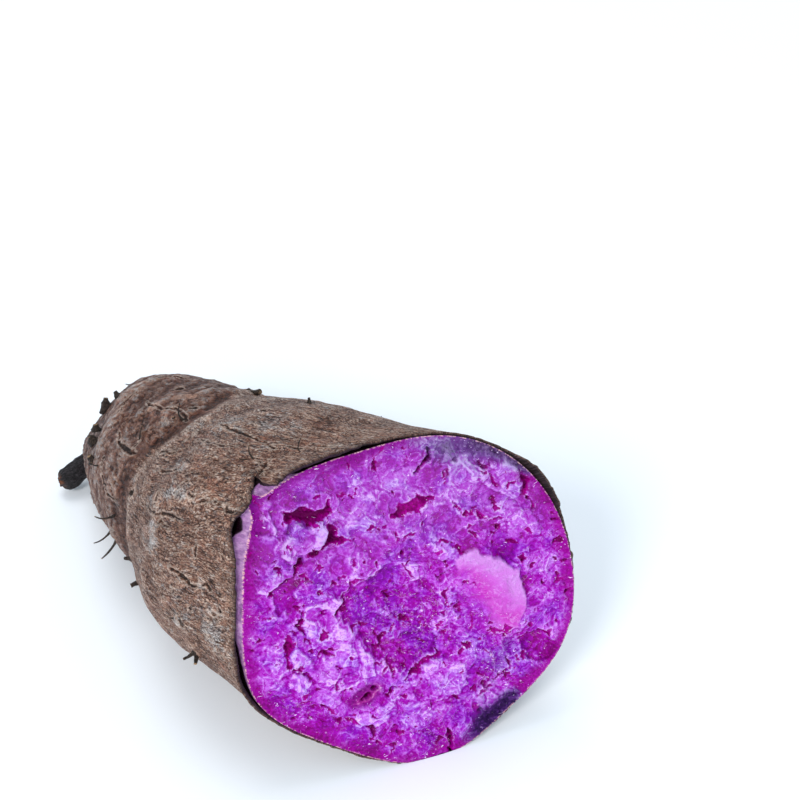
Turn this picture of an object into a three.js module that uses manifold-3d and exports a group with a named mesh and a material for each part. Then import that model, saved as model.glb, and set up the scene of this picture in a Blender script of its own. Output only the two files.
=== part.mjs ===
// Half a steamed purple yam lying on its side, the other half broken away.
// The broken face looks toward -Y and a little up, the tail runs back along +Y.
// Millimetres, Z up, the floor at Z = 0.
import * as THREE from 'three';
import { mergeVertices } from 'three/addons/utils/BufferGeometryUtils.js';
import Module from 'manifold-3d';

const wasm = await Module();
wasm.setup();

// The broken face: where its middle is, and how it leans.
const faceMiddle = new THREE.Vector3(0, -50, 34);
const faceLean = THREE.MathUtils.degToRad(19);
const faceTurn = THREE.MathUtils.degToRad(20);
const squareAgain = 50;
const skinThickness = 0.6;

// The middle line of the yam from the broken face to the tail, and its radius on the way.
const stations = [
  { x: 0, y: -50, z: 34, radius: 34.2 },
  { x: -2.3, y: -38, z: 32.7, radius: 32.8 },
  { x: -4.5, y: -24, z: 31.2, radius: 31.5 },
  { x: -5.5, y: -10, z: 29.2, radius: 29.6 },
  { x: -4.8, y: 4, z: 26.1, radius: 26.5 },
  { x: -3.6, y: 16, z: 23.4, radius: 23.8 },
  { x: -2.8, y: 28, z: 20.9, radius: 21.4 },
  { x: -1.6, y: 39, z: 18.2, radius: 18.9 },
  { x: -1.0, y: 48, z: 15.4, radius: 15.6 },
  { x: -2.0, y: 54, z: 12.6, radius: 11.2 },
  { x: -4.0, y: 57.5, z: 10.8, radius: 6.4 },
  { x: -5.5, y: 58.5, z: 10, radius: 0 },
];

// Long waves that make the outline of the broken end less than round: how many go round,
// how high they stand, and the angle of a crest. They fade out toward the tail.
const outlineWaves = [
  { count: 1, height: 0.55, crest: 138 },
  { count: 2, height: 0.63, crest: 40 },
  { count: 3, height: 0.85, crest: 14.4 },
  { count: 4, height: 0.58, crest: 38.9 },
  { count: 5, height: 1.04, crest: 54 },
  { count: 6, height: 0.43, crest: 18.1 },
];
const waveFade = 60;

// The skin is folded lengthwise, and narrows in a shallow groove before the tail lobe.
const folds = { count: 8, height: 0.3, twist: 4 };
const groove = { y: 11, depth: 1.1, width: 4 };

// How far the torn skin has drawn back from the face, and the side where it drew back most.
const skinBack = { least: 0.7, most: 3.2, angle: 178 };

// Hollows and lumps of the broken flesh: place across and up from the face's middle.
const relief = [
  { x: -3.5, z: -3, radius: 13, height: -2.2 },
  { x: 6, z: 18.5, radius: 4.5, height: -1.8 },
  { x: -14, z: 23, radius: 4.5, height: -2.4 },
  { x: -15, z: 17.5, radius: 4, height: 1.6 },
  { x: 16, z: -2, radius: 8, height: 1.6 },
  { x: -12.5, z: -17, radius: 3.5, height: -2 },
  { x: 10.5, z: -27, radius: 5.5, height: -1.6 },
  { x: -22, z: 7, radius: 5, height: 1 },
  { x: 23, z: 14, radius: 6, height: 1.2 },
  { x: -20, z: -12, radius: 6, height: 1 },
];

// Short stubs of thin roots: place along the middle line, angle round it, and size.
const rootlets = [
  { along: 0.79, angle: 119, length: 3.4, radius: 1.0 },
  { along: 0.69, angle: 158, length: 2.6, radius: 1.2 },
  { along: 0.6, angle: 172, length: 1.8, radius: 0.9 },
  { along: 0.37, angle: 198, length: 2.0, radius: 1.1 },
  { along: 0.18, angle: 199, length: 3.0, radius: 0.9 },
  { along: 0.45, angle: 52, length: 2.4, radius: 0.8 },
  { along: 0.18, angle: 66, length: 1.6, radius: 0.8 },
  { along: 0.3, angle: 20, length: 2.2, radius: 0.9 },
  { along: 0.52, angle: 345, length: 2.6, radius: 1.0 },
  { along: 0.66, angle: 20, length: 2.2, radius: 0.9 },
  { along: 0.76, angle: 320, length: 1.8, radius: 0.9 },
  { along: 0.24, angle: 325, length: 2.0, radius: 1.0 },
];

// The broken stump of the tail root.
const tailRoot = {
  from: new THREE.Vector3(-1.5, 54.5, 11.6),
  to: new THREE.Vector3(-15.5, 59.6, 4.6),
  baseRadius: 3.3,
  tipRadius: 2.2,
  sag: 0.9,
};

const segments = 60;
const bodyRings = 36;
const faceRings = 11;

const middleLine = new THREE.CatmullRomCurve3(
  stations.map((s) => new THREE.Vector3(s.x, s.y, s.z)), false, 'catmullrom', 0.5,
);
const radiusLine = new THREE.CatmullRomCurve3(
  stations.map((s) => new THREE.Vector3(s.radius, s.y, 0)), false, 'catmullrom', 0.5,
);
const faceNormal = new THREE.Vector3(
  -Math.sin(faceTurn) * Math.cos(faceLean),
  -Math.cos(faceTurn) * Math.cos(faceLean),
  Math.sin(faceLean),
);

function bump(distance, width) {
  return Math.exp(-((distance / width) ** 2));
}

// Radius of the skin at a place along the middle line and an angle round it.
function skinRadius(along, angle) {
  const y = middleLine.getPoint(along).y;
  const radius = Math.max(radiusLine.getPoint(along).x, 0);
  const nearFace = THREE.MathUtils.clamp(1 - (y - faceMiddle.y) / waveFade, 0, 1);
  let wave = 0;
  for (const { count, height, crest } of outlineWaves) {
    wave += height * Math.cos(count * (angle - THREE.MathUtils.degToRad(crest)));
  }
  const fold = folds.height * Math.sin(folds.count * angle + folds.twist * along);
  const foldFade = Math.sin(Math.PI * along);
  const waist = groove.depth * bump(y - groove.y, groove.width);
  const size = radius / stations[0].radius;
  return radius + size * (wave * nearFace + fold * foldFade) - waist;
}

// A point of the yam. Reach is 0 on the middle line and 1 on the skin. The cross sections
// lean like the broken face where they are near it and stand square farther back.
function yamPoint(reach, along, angle) {
  const centre = middleLine.getPoint(along);
  const radius = reach * skinRadius(along, angle);
  const across = radius * Math.cos(angle);
  const up = radius * Math.sin(angle);
  const lean = THREE.MathUtils.clamp(-centre.y / squareAgain, 0, 1);
  const back = -lean * (faceNormal.x * across + faceNormal.z * up) / faceNormal.y;
  return new THREE.Vector3(centre.x + across, centre.y + back, centre.z + up);
}

// How far the broken flesh stands out of the face's plane. It fades to nothing at the rim.
function reliefHeight(across, up, reach) {
  let height = 0;
  for (const spot of relief) {
    height += spot.height * bump(Math.hypot(across - spot.x, up - spot.z), spot.radius);
  }
  return height * (1 - reach ** 6);
}

// A turned blank with the broken face, the bare edge of the flesh and the skin, bent along
// the middle line point by point.
function yamBody() {
  const fleshEdge = 1 - skinThickness / stations[0].radius;
  const skinLine = 0.004;
  const profile = [];
  for (let i = 0; i <= faceRings; i++) {
    profile.push(new THREE.Vector2(fleshEdge * i / faceRings, 0));
  }
  profile.push(new THREE.Vector2(fleshEdge, skinLine));
  for (let i = 0; i <= bodyRings; i++) {
    profile.push(new THREE.Vector2(1, skinLine + (1 - skinLine) * i / bodyRings));
  }
  profile.push(new THREE.Vector2(0, 1));

  const geometry = new THREE.LatheGeometry(profile, segments);
  const places = geometry.attributes.position;
  for (let i = 0; i < places.count; i++) {
    const blank = new THREE.Vector3().fromBufferAttribute(places, i);
    const reach = Math.hypot(blank.x, blank.z);
    const angle = Math.atan2(blank.z, blank.x);
    const along = blank.y;
    const point = yamPoint(reach, along, angle);
    if (along === 0) {
      const out = reliefHeight(point.x - faceMiddle.x, point.z - faceMiddle.z, reach);
      point.addScaledVector(faceNormal, out);
    } else {
      const side = Math.cos(angle - THREE.MathUtils.degToRad(skinBack.angle));
      const drawn = skinBack.least + (skinBack.most - skinBack.least) * Math.max(side, 0) ** 2;
      point.y += drawn * Math.max(1 - along / 0.25, 0);
    }
    places.setXYZ(i, point.x, point.y, point.z);
  }
  return geometry;
}

// A thin root standing out of the skin and leaning toward the tail.
function rootletStub({ along, angle, length, radius }) {
  const turn = THREE.MathUtils.degToRad(angle);
  const sink = 1.5;
  const foot = yamPoint(1, along, turn);
  const forward = yamPoint(1, along + 0.02, turn).sub(foot);
  const sideways = yamPoint(1, along, turn + 0.05).sub(foot);
  const out = sideways.cross(forward).normalize();
  const direction = out.addScaledVector(forward.normalize(), 0.4).normalize();
  const stub = new THREE.CylinderGeometry(0.6 * radius, radius, length + sink, 7);
  stub.translate(0, (length - sink) / 2, 0);
  stub.applyQuaternion(new THREE.Quaternion().setFromUnitVectors(THREE.Object3D.DEFAULT_UP, direction));
  stub.translate(foot.x, foot.y, foot.z);
  return stub;
}

// The tail root: a tapered stump that sags a little between its ends.
function tailRootStump({ from, to, baseRadius, tipRadius, sag }) {
  const direction = to.clone().sub(from);
  const length = direction.length();
  const stump = new THREE.CylinderGeometry(tipRadius, baseRadius, length, 14, 6);
  const turn = new THREE.Quaternion();
  turn.setFromUnitVectors(THREE.Object3D.DEFAULT_UP, direction.normalize());
  stump.applyQuaternion(turn);
  stump.translate((from.x + to.x) / 2, (from.y + to.y) / 2, (from.z + to.z) / 2);
  const places = stump.attributes.position;
  for (let i = 0; i < places.count; i++) {
    const progress = THREE.MathUtils.clamp((from.x - places.getX(i)) / (from.x - to.x), 0, 1);
    places.setZ(i, places.getZ(i) - sag * Math.sin(Math.PI * progress));
  }
  return stump;
}

function toSolid(geometry) {
  geometry.deleteAttribute('normal');
  geometry.deleteAttribute('uv');
  const merged = mergeVertices(geometry, 1e-4);
  const corners = merged.index.array;
  const triangles = [];
  for (let i = 0; i < corners.length; i += 3) {
    const [a, b, c] = corners.slice(i, i + 3);
    if (a !== b && b !== c && c !== a) {
      triangles.push(a, b, c);
    }
  }
  const mesh = new wasm.Mesh({
    numProp: 3,
    vertProperties: new Float32Array(merged.attributes.position.array),
    triVerts: new Uint32Array(triangles),
  });
  return new wasm.Manifold(mesh);
}

function toGeometry(solid) {
  const mesh = solid.getMesh();
  const geometry = new THREE.BufferGeometry();
  geometry.setAttribute('position', new THREE.BufferAttribute(mesh.vertProperties, 3));
  geometry.setIndex(new THREE.BufferAttribute(mesh.triVerts, 1));
  geometry.computeVertexNormals();
  return geometry;
}

// Everything joined, then the underside cut flat where the yam rests.
let solid = toSolid(yamBody());
solid = solid.add(toSolid(tailRootStump(tailRoot)));
for (const rootlet of rootlets) {
  solid = solid.add(toSolid(rootletStub(rootlet)));
}
const underFloor = new THREE.BoxGeometry(200, 200, 20).translate(0, 0, -10);
solid = solid.subtract(toSolid(underFloor));

const geometry = toGeometry(solid);
geometry.computeBoundingBox();
const middle = geometry.boundingBox.getCenter(new THREE.Vector3());
geometry.translate(-middle.x, -middle.y, -geometry.boundingBox.min.z);

const material = new THREE.MeshStandardMaterial({ color: 0x7a6250, roughness: 0.9, metalness: 0 });
const yam = new THREE.Mesh(geometry, material);
yam.name = 'yam';

const part = new THREE.Group();
part.name = 'purple_yam';
part.add(yam);
export default part;
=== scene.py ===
from math import cos, exp, pi, radians, sin, tau

import bpy
import numpy as np
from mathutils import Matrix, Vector, noise


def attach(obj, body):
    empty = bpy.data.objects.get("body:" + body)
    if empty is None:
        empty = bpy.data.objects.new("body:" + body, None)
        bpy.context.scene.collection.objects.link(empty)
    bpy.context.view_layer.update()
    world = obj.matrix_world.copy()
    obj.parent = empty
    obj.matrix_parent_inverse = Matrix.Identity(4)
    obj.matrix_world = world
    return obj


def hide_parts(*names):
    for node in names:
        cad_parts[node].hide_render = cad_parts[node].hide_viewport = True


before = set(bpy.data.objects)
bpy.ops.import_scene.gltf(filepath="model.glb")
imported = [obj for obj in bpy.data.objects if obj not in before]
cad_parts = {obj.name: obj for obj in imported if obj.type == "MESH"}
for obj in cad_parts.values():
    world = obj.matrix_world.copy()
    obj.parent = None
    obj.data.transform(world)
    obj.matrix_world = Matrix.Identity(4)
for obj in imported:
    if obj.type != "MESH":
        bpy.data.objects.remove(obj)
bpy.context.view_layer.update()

mm = 0.001

# shape of the yam, the same as the solid's, in millimetres
yamShape = {
    "shift": (1.501, 2.439, 0.0),        # from the shape's own numbers to the shared frame
    "faceMiddle": (0.0, -50.0, 34.0),
    "faceLean": 19,                      # degrees the broken face leans back
    "faceTurn": 20,                      # degrees it turns toward -X
    "squareAgain": 50,                   # behind this the cross sections stand square
    "waveFade": 60,                      # the waves fade out over this length
    "length": 135,                       # of the surface from the broken end to the tail
    # x, y, z of the middle line and the radius there
    "stations": [
        (0, -50, 34, 34.2), (-2.3, -38, 32.7, 32.8), (-4.5, -24, 31.2, 31.5),
        (-5.5, -10, 29.2, 29.6), (-4.8, 4, 26.1, 26.5), (-3.6, 16, 23.4, 23.8),
        (-2.8, 28, 20.9, 21.4), (-1.6, 39, 18.2, 18.9), (-1.0, 48, 15.4, 15.6),
        (-2.0, 54, 12.6, 11.2), (-4.0, 57.5, 10.8, 6.4), (-5.5, 58.5, 10.0, 0.0),
    ],
    # waves round the broken end: how many, how high, degrees of a crest
    "waves": [(1, 0.55, 138), (2, 0.63, 40), (3, 0.85, 14.4),
              (4, 0.58, 38.9), (5, 1.04, 54), (6, 0.43, 18.1)],
    "groove": (11.0, 1.1, 4.0),          # y, depth, width of the waist before the tail lobe
}

shift = np.array(yamShape["shift"])
fullRadius, yamLength = yamShape["stations"][0][3], yamShape["length"]
faceMiddle = np.array(yamShape["faceMiddle"])
lean, turn = radians(yamShape["faceLean"]), radians(yamShape["faceTurn"])
faceNormal = np.array([-sin(turn) * cos(lean), -cos(turn) * cos(lean), sin(lean)])


def curveThrough(rows, t):
    # a smooth curve through the rows, t from 0 at the first to 1 at the last
    rows = np.asarray(rows, float)
    last = len(rows) - 1
    t = np.clip(np.asarray(t, float), 0, 1) * last
    i = np.minimum(t.astype(int), last - 1)
    w = (t - i)[..., None]
    padded = np.vstack([2 * rows[0] - rows[1], rows, 2 * rows[-1] - rows[-2]])
    a, b, c, d = padded[i], padded[i + 1], padded[i + 2], padded[i + 3]
    return 0.5 * (2 * b + (c - a) * w + (2 * a - 5 * b + 4 * c - d) * w ** 2
                  + (3 * b - a - 3 * c + d) * w ** 3)


def smooth(x, low, high):
    t = np.clip((np.asarray(x, float) - low) / (high - low), 0, 1)
    return t * t * (3 - 2 * t)


def dip(distance, width):
    return np.exp(-(distance / width) ** 2)


def outlineRadius(angle, size=1.0, fade=1.0):
    # radius of the skin where the cross section is size times as wide as the broken end
    wave = sum(h * np.cos(n * (angle - radians(crest))) for n, h, crest in yamShape["waves"])
    return size * (fullRadius + wave * fade)


def yamPoint(along, angle, inset=0.0, back=0.0):
    # a point of the yam's surface, inset millimetres under it and back millimetres toward the tail
    line = curveThrough(yamShape["stations"], along)
    size = np.maximum(line[..., 3], 0) / fullRadius
    fade = np.clip(1 - (line[..., 1] + 50) / yamShape["waveFade"], 0, 1)
    grooveY, grooveDepth, grooveWidth = yamShape["groove"]
    radius = outlineRadius(angle, size, fade) - grooveDepth * dip(line[..., 1] - grooveY, grooveWidth)
    radius = np.maximum(radius - inset, 0)
    across, up = radius * np.cos(angle), radius * np.sin(angle)
    leaning = np.clip(-line[..., 1] / yamShape["squareAgain"], 0, 1)
    y = line[..., 1] + back - leaning * (faceNormal[0] * across + faceNormal[2] * up) / faceNormal[1]
    return np.stack([line[..., 0] + across, y, line[..., 2] + up], -1)


def roughly(places, size, octaves=1, seed=0):
    # noise over an array of places in millimetres, in lumps of that size
    flat = np.asarray(places, float).reshape(-1, 3) / size + seed * 11.37
    if octaves == 1:
        found = [noise.noise(p) for p in flat.tolist()]
    else:
        found = [noise.fractal(p, 1.0, 2.0, octaves) for p in flat.tolist()]
    return np.array(found).reshape(np.asarray(places).shape[:-1])


def blurred(field, width, wrap=False):
    # gaussian blur of a 2D array over width cells
    reach = int(width * 2.5) + 1
    kernel = np.exp(-(np.arange(-reach, reach + 1) / width) ** 2 / 2)
    kernel /= kernel.sum()
    for axis in (0, 1):
        mode = "wrap" if wrap and axis == 1 else "edge"
        pad = [(0, 0), (0, 0)]
        pad[axis] = (reach, reach)
        wide = np.pad(field, pad, mode=mode)
        field = sum(k * np.take(wide, np.arange(n, n + field.shape[axis]), axis)
                    for n, k in enumerate(kernel))
    return field


def lineDistance(u, v, points):
    # distance of each place from a line through the points, and the share of the line passed there
    best, share = np.full(u.shape, 1e9), np.zeros(u.shape)
    for n, ((u0, v0), (u1, v1)) in enumerate(zip(points, points[1:])):
        du, dv = u1 - u0, v1 - v0
        t = np.clip(((u - u0) * du + (v - v0) * dv) / (du * du + dv * dv), 0, 1)
        near = np.hypot(u - u0 - t * du, v - v0 - t * dv)
        share = np.where(near < best, (n + t) / (len(points) - 1), share)
        best = np.minimum(best, near)
    return best, share


def gridPiece(name, cellsX, cellsY):
    bpy.ops.object.select_all(action="DESELECT")
    bpy.ops.mesh.primitive_grid_add(x_subdivisions=cellsX, y_subdivisions=cellsY, size=1)
    piece = bpy.context.object
    piece.name = piece.data.name = name
    return piece


def taper(share):
    # 1 at the middle of a line and less toward its ends
    return np.sin(pi * np.clip(share, 0.03, 0.97)) ** 0.7


def standOut(field, width, reach, wrap=False):
    # how far a field stands above its surroundings, as a share of reach, from -1 to 1
    return np.clip((field - blurred(field, width, wrap)) / reach, -1, 1)


def placeVertices(piece, places):
    places = places.reshape(-1, 3) + shift
    places[:, 2] = np.maximum(places[:, 2], 0.0)
    piece.data.vertices.foreach_set("co", (places * mm).astype(np.float32).ravel())
    piece.data.update()


def keepValues(piece, **fields):
    for name, values in fields.items():
        layer = piece.data.attributes.new(name, "FLOAT", "POINT")
        layer.data.foreach_set("value", np.asarray(values, np.float32).ravel())


def keepVector(piece, name, values):
    layer = piece.data.attributes.new(name, "FLOAT_VECTOR", "POINT")
    layer.data.foreach_set("vector", np.asarray(values, np.float32).ravel())


def closeUp(piece):
    # one closed skin of faces that point outwards
    bpy.ops.object.select_all(action="DESELECT")
    piece.select_set(True)
    bpy.context.view_layer.objects.active = piece
    bpy.ops.object.mode_set(mode="EDIT")
    bpy.ops.mesh.select_all(action="SELECT")
    bpy.ops.mesh.remove_doubles(threshold=1e-7)
    bpy.ops.mesh.select_all(action="SELECT")
    bpy.ops.mesh.normals_make_consistent(inside=False)
    bpy.ops.object.mode_set(mode="OBJECT")
    bpy.ops.object.shade_smooth()


# the broken flesh
flesh = {
    "cells": 300,
    "sideRings": 14,
    "sideDepth": 10,
    # how far the face's edge lies inside the skin's outline: degrees round, millimetres
    "edgeInset": [
        (0, 0.25), (60, 0.3), (75, 0.35), (85, 0.5), (93, 0.7), (102, 1.1), (110, 1.6), (118, 2.2),
        (123, 2.4), (126, 2.5), (128.3, 1.9), (129.2, 0.35), (130.5, 0.4), (133, 0.9), (135, 2.3),
        (137, 2.9), (141, 3.2), (146, 3), (150, 2.5), (157, 1.8), (165, 1.3), (172, 1.1), (184, 1.1),
        (191, 1), (196, 0.7), (201, 0.4), (210, 0.3), (360, 0.25)],
    # where the pale side under the skin shows: degrees round, how much
    "bareSide": [
        (0, 0), (114, 0), (119, 1), (135, 1), (137.5, 0.6), (140.5, 0.5), (144, 0.85), (148, 1),
        (176, 1), (183, 0.5), (190, 0.3), (200, 0.2), (206, 0), (360, 0)],
    # parts that broke off higher or lower: rise, width of the edge's slope, how much paler, outline
    "plates": [
        (-1.2, 1.4, -0.22, [(-11.7, 4.4), (-9.9, 6.4), (-7.5, 6.9), (-4.6, 7.2), (-2.5, 8.6),
            (0.2, 8.1), (1.2, 5.8), (2.2, 4.4), (4.5, 4), (6.2, 2), (6.5, -1), (6.4, -4.5), (4, -6.5),
            (4.2, -9), (3.3, -12.3), (0, -13.3), (-1.6, -15.2), (-4.5, -16.3), (-7, -15), (-8, -12),
            (-9.5, -10.5), (-10.6, -7.5), (-12.1, -3.5), (-13.9, 0), (-12.8, 1.8)]),
        (-0.6, 0.5, -0.12, [(-7.6, -4.5), (-7.2, -8), (-6.4, -10), (-7.2, -11.5), (-6.2, -14),
            (-3, -15), (-1, -13.5), (1.5, -12.5), (2.5, -9), (3.5, -6), (2, -3), (-2, -2.2),
            (-6.5, -2.3)]),
        (0.8, 0.4, 0, [(-27.7, 10.6), (-27.4, 8.4), (-26, 7.6), (-25.2, 7.4), (-24.6, 8.4), (-23.7, 9),
            (-21.4, 9.8), (-19.9, 10.3), (-19.6, 12), (-18.6, 13.4), (-18, 14.2), (-20, 15.5),
            (-20.4, 17.5), (-21.2, 19), (-22.6, 19.8), (-25, 21), (-28.5, 17), (-30.5, 12)]),
        (1.4, 0.35, 0, [(-18.5, 19.8), (-17.9, 20.3), (-16.9, 20.7), (-15.9, 20.4), (-15.2, 19.6),
            (-14.6, 19.5), (-13.9, 20), (-12.6, 20.3), (-12.3, 21), (-11.8, 20.9), (-11.9, 19.9),
            (-11.5, 18.9), (-11.9, 17.6), (-11.6, 16.6), (-12.6, 15.9), (-14.2, 15), (-16.3, 14.4),
            (-18, 14.2), (-20.4, 13), (-21.5, 16.5), (-19.9, 18.5)]),
        (-0.7, 0.5, -0.35, [(-24.9, 7), (-24.6, 3), (-23.5, 2.8), (-22.8, 4), (-21.3, 3.6),
            (-20.5, 3.8), (-20.5, 5.5), (-20.1, 7.5), (-19.1, 8.5), (-18.4, 10.2), (-19.8, 10),
            (-21.5, 9.5), (-23.8, 8.9), (-24.5, 7.9)]),
        (0.5, 0.4, 0.4, [(-22.9, 24.3), (-22.2, 24.1), (-21.6, 23.7), (-20.9, 24.2), (-21, 22.6),
            (-20.1, 21.4), (-20.3, 20.2), (-21.4, 19), (-22.4, 20.2), (-22.8, 21.6), (-23.3, 23.2)]),
        (0.5, 0.35, 0.22, [(-20.4, 2.8), (-18.4, 3.5), (-16.2, 3.8), (-14.5, 3.7), (-12, 4.2),
            (-12.2, 2.4), (-13.6, 1), (-14, -1.5), (-12.4, -3), (-11.5, -5), (-10.9, -6.8),
            (-10.1, -8.7), (-9.3, -9.6), (-9.5, -12), (-10, -14), (-12.3, -13.2), (-14, -12.3),
            (-15.5, -11.9), (-17, -12.3), (-17.6, -13.3), (-19, -13.3), (-20.9, -12.2), (-22, -10.5),
            (-22.8, -9.6), (-24.3, -8.8), (-24.7, -7.2), (-24.4, -5), (-23.3, -4), (-23.2, -1.6),
            (-22.2, -1), (-21.4, -0.3), (-20.8, 1.2)]),
        (0.35, 0.4, 0.42, [(-26, -9.3), (-24.5, -9), (-23.3, -9.6), (-22.3, -10.2), (-21.9, -12),
            (-22.7, -13), (-24.2, -13.2), (-25.2, -12.5), (-26.5, -11.5)]),
        (0.35, 0.4, 0.3, [(-17.4, -13.3), (-16.9, -12.4), (-15.5, -12), (-14, -12.3), (-12.7, -13),
            (-13.5, -14.5), (-15, -15.3), (-16.3, -15.6), (-17.3, -14.9)]),
        (0.3, 0.5, 0.18, [(-15, -22.9), (-12.9, -23.7), (-12.3, -24.4), (-10, -24), (-8.5, -21.5),
            (-6, -20), (-4.5, -19.6), (-9, -19.2), (-11.5, -20.2), (-15.5, -20.6), (-17, -20.6)]),
        (0.5, 0.4, 0.2, [(-0.7, -15.6), (0, -14), (1.8, -13.6), (3.5, -12.9), (5, -14), (7.5, -16),
            (8, -19), (7.5, -21), (5, -22.5), (1.5, -22.6), (-1, -22), (-2.5, -19.5), (-3.5, -17.5)]),
        (0.8, 0.35, 0.06, [(18.8, 24.3), (20, 23.4), (20.9, 23.1), (21.9, 24.1), (24.8, 23.2),
            (26.9, 21.8), (27.2, 20), (26.9, 18), (26.6, 16.2), (25.4, 14.8), (22.5, 16.5),
            (19.2, 20.6)]),
        (0.2, 0.8, 0.12, [(17.5, 27), (19.8, 26.5), (19.5, 24), (20.5, 22.8), (22, 18.5), (25.5, 15),
            (21.7, 12.3), (18.5, 14.5), (14, 17), (10.5, 19), (10, 22), (12, 25.5)]),
        (-0.5, 1, -0.2, [(11, 11), (17, 13), (20, 11.5), (22.5, 9), (23.8, 5), (22.8, 1.2), (20.5, 3),
            (18, 5.2), (14.5, 7.6), (11.5, 9.4)]),
        (-0.3, 0.4, -0.2, [(22.8, 1), (24.1, -1), (23.8, -4.5), (22.9, -5), (22.9, -2.5)]),
        (-0.6, 0.5, -0.4, [(19.8, -14.2), (22, -13.5), (24, -13.2), (25.5, -14.5), (26, -16),
            (27, -17.5), (25, -20.5), (22, -20), (20.5, -18.5), (19, -17.8), (19.5, -16)]),
        (-0.4, 0.4, -0.3, [(30.6, -7), (31.9, -6), (33.6, -6.6), (33, -12), (31.2, -11.5)]),
        (0.5, 0.5, 0.25, [(14.8, -28.2), (15.2, -26.8), (16.5, -25.5), (18.2, -25.3), (18.4, -26.6),
            (17.3, -28.4)])],
    # the pale lump: outline, the line of its pinker middle
    "lump": [
        (10.3, 6.2), (12, 6.6), (14.2, 7.2), (15.1, 6.9), (16.4, 5.8), (18, 5), (18.6, 4.1),
        (20.2, 3.3), (21, 2.3), (21.8, 1.2), (22.8, 0.9), (22.6, -1), (23, -2.5), (22.9, -4.5),
        (22.4, -7), (21.8, -8.5), (20.7, -9.5), (20, -11.5), (16, -12), (13, -10), (11.8, -5), (11, 0)],
    "lumpCore": [(12.5, 1.5), (14.5, -3), (17, -6), (18.5, -8)],
    "lumpRise": 1,
    # torn holes: depth, outline
    "holes": [
        (2.4, [(-18.9, 21.9), (-18.7, 23.2), (-16.9, 23.2), (-16, 23.8), (-14, 23.5), (-13, 22.3),
            (-12, 22.4), (-10.9, 22.6), (-10.3, 23.7), (-9.3, 23.8), (-9.8, 22.5), (-10, 21),
            (-11.3, 20.6), (-12.1, 20.3), (-14.5, 20.2), (-15.4, 20.5), (-16.1, 20.4), (-17, 21),
            (-18.2, 20.5), (-19, 21)]),
        (1.8, [(-12.2, 17), (-11.7, 19.3), (-11, 19.6), (-10, 18.6), (-9.6, 16.5), (-8.5, 15.7),
            (-7.6, 15.1), (-10.5, 14.9), (-12, 15), (-13, 14.6), (-14.5, 13.4), (-16, 12.9),
            (-16.2, 13.9), (-14.3, 15), (-13, 15.4), (-12.3, 16.3)]),
        (2.2, [(-19.5, 13), (-18.3, 13.4), (-17.2, 13.7), (-17, 12.9), (-18.5, 11.8), (-19.3, 10.4),
            (-20, 10.6), (-19.6, 12.2)]),
        (1, [(-8.3, 24.2), (-7.4, 23.9), (-6.4, 24.3), (-6.3, 23.6), (-7.3, 23.2), (-8.2, 23.6)]),
        (1.6, [(0.6, 17.4), (1, 18.3), (1.9, 18.9), (2.2, 19.6), (3.6, 19.8), (5.2, 20), (6.5, 20.8),
            (7.2, 20.4), (8, 20.1), (9.6, 19.8), (9.5, 18.9), (8.5, 18.7), (7.5, 18.5), (6.2, 17.9),
            (4.6, 17.5), (3, 17.4), (1.8, 17), (1.2, 16.9)]),
        (1.8, [(17, 14.4), (17.7, 14.7), (18.3, 14), (18.5, 12.9), (19.1, 12.3), (18, 12.6),
            (17.2, 13.1)]),
        (1.7, [(19.9, 10.6), (20.5, 10.8), (21.2, 10.6), (21.3, 9.8), (20.8, 9.4), (20.1, 9.6)]),
        (1.7, [(21.6, 7.1), (22.3, 7.2), (23.1, 6.8), (23.8, 5.9), (23.6, 5.5), (22.6, 5.8),
            (21.8, 6.5)]),
        (1.2, [(25.6, 8.8), (26.2, 8.7), (26.9, 8), (26.9, 7.1), (26.3, 7.3), (25.8, 8)]),
        (0.9, [(28.1, 6.9), (28.6, 7), (28.8, 6.3), (28.4, 6.2)]),
        (1.2, [(23.3, 2.4), (23.8, 2.8), (24.2, 3.6), (24.5, 3.8), (24.2, 2.8), (24.1, 1.8),
            (23.4, 1.6)]),
        (1.3, [(11.1, 8.4), (12, 8.9), (12.9, 8.2), (12.4, 7.2), (13.4, 6.9), (12.4, 6.4), (11.7, 6.7),
            (11.7, 7.6)]),
        (0.7, [(7.1, 8.2), (7.9, 8.7), (8.8, 8.8), (8.6, 8.3), (7.8, 8)]),
        (2, [(25.9, 15.2), (26.8, 15.8), (27.1, 17.5), (27, 18.8), (27.3, 20.2), (28, 19.4),
            (28.8, 18.2), (28.2, 17.2), (27.7, 15.9), (27, 15.3)]),
        (1.6, [(-24.3, -1.2), (-23.5, -1.4), (-23.4, -2.6), (-23.3, -4), (-24.2, -4.5), (-24.7, -5.2),
            (-24.7, -6.2), (-24.9, -7.6), (-25.6, -8.2), (-25.6, -7.4), (-25.4, -5.4), (-25.2, -3.8),
            (-25.2, -2.9), (-24.6, -2)]),
        (0.8, [(-24.4, -13.5), (-23.2, -13.4), (-23.4, -14.4), (-24.6, -15)]),
        (1.2, [(-20.9, -18.8), (-20, -18.3), (-19.3, -19), (-19, -20), (-20, -19.3)]),
        (0.9, [(-18, -20.5), (-16.8, -21), (-15.9, -21.5), (-15, -22.6), (-15.9, -22.8),
            (-17.2, -22.2)]),
        (0.8, [(-17.9, -2.2), (-17.3, -1.6), (-16.3, -1.7), (-16.2, -2.2), (-16.8, -2.6),
            (-17.5, -2.6)]),
        (1.6, [(-7.4, -11.3), (-6.6, -11.2), (-6.5, -12.5), (-5.8, -14), (-6.4, -14.8), (-7, -13.5)]),
        (1.3, [(3.7, -6.5), (4.8, -6.3), (5.4, -5.9), (5.5, -6.5), (4.6, -7.5), (4, -8), (3.8, -7.3)]),
        (0.9, [(11.2, -6.7), (11.7, -6.9), (11.4, -8.5), (10.8, -9.5), (10.4, -9), (11, -8.3)]),
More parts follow.
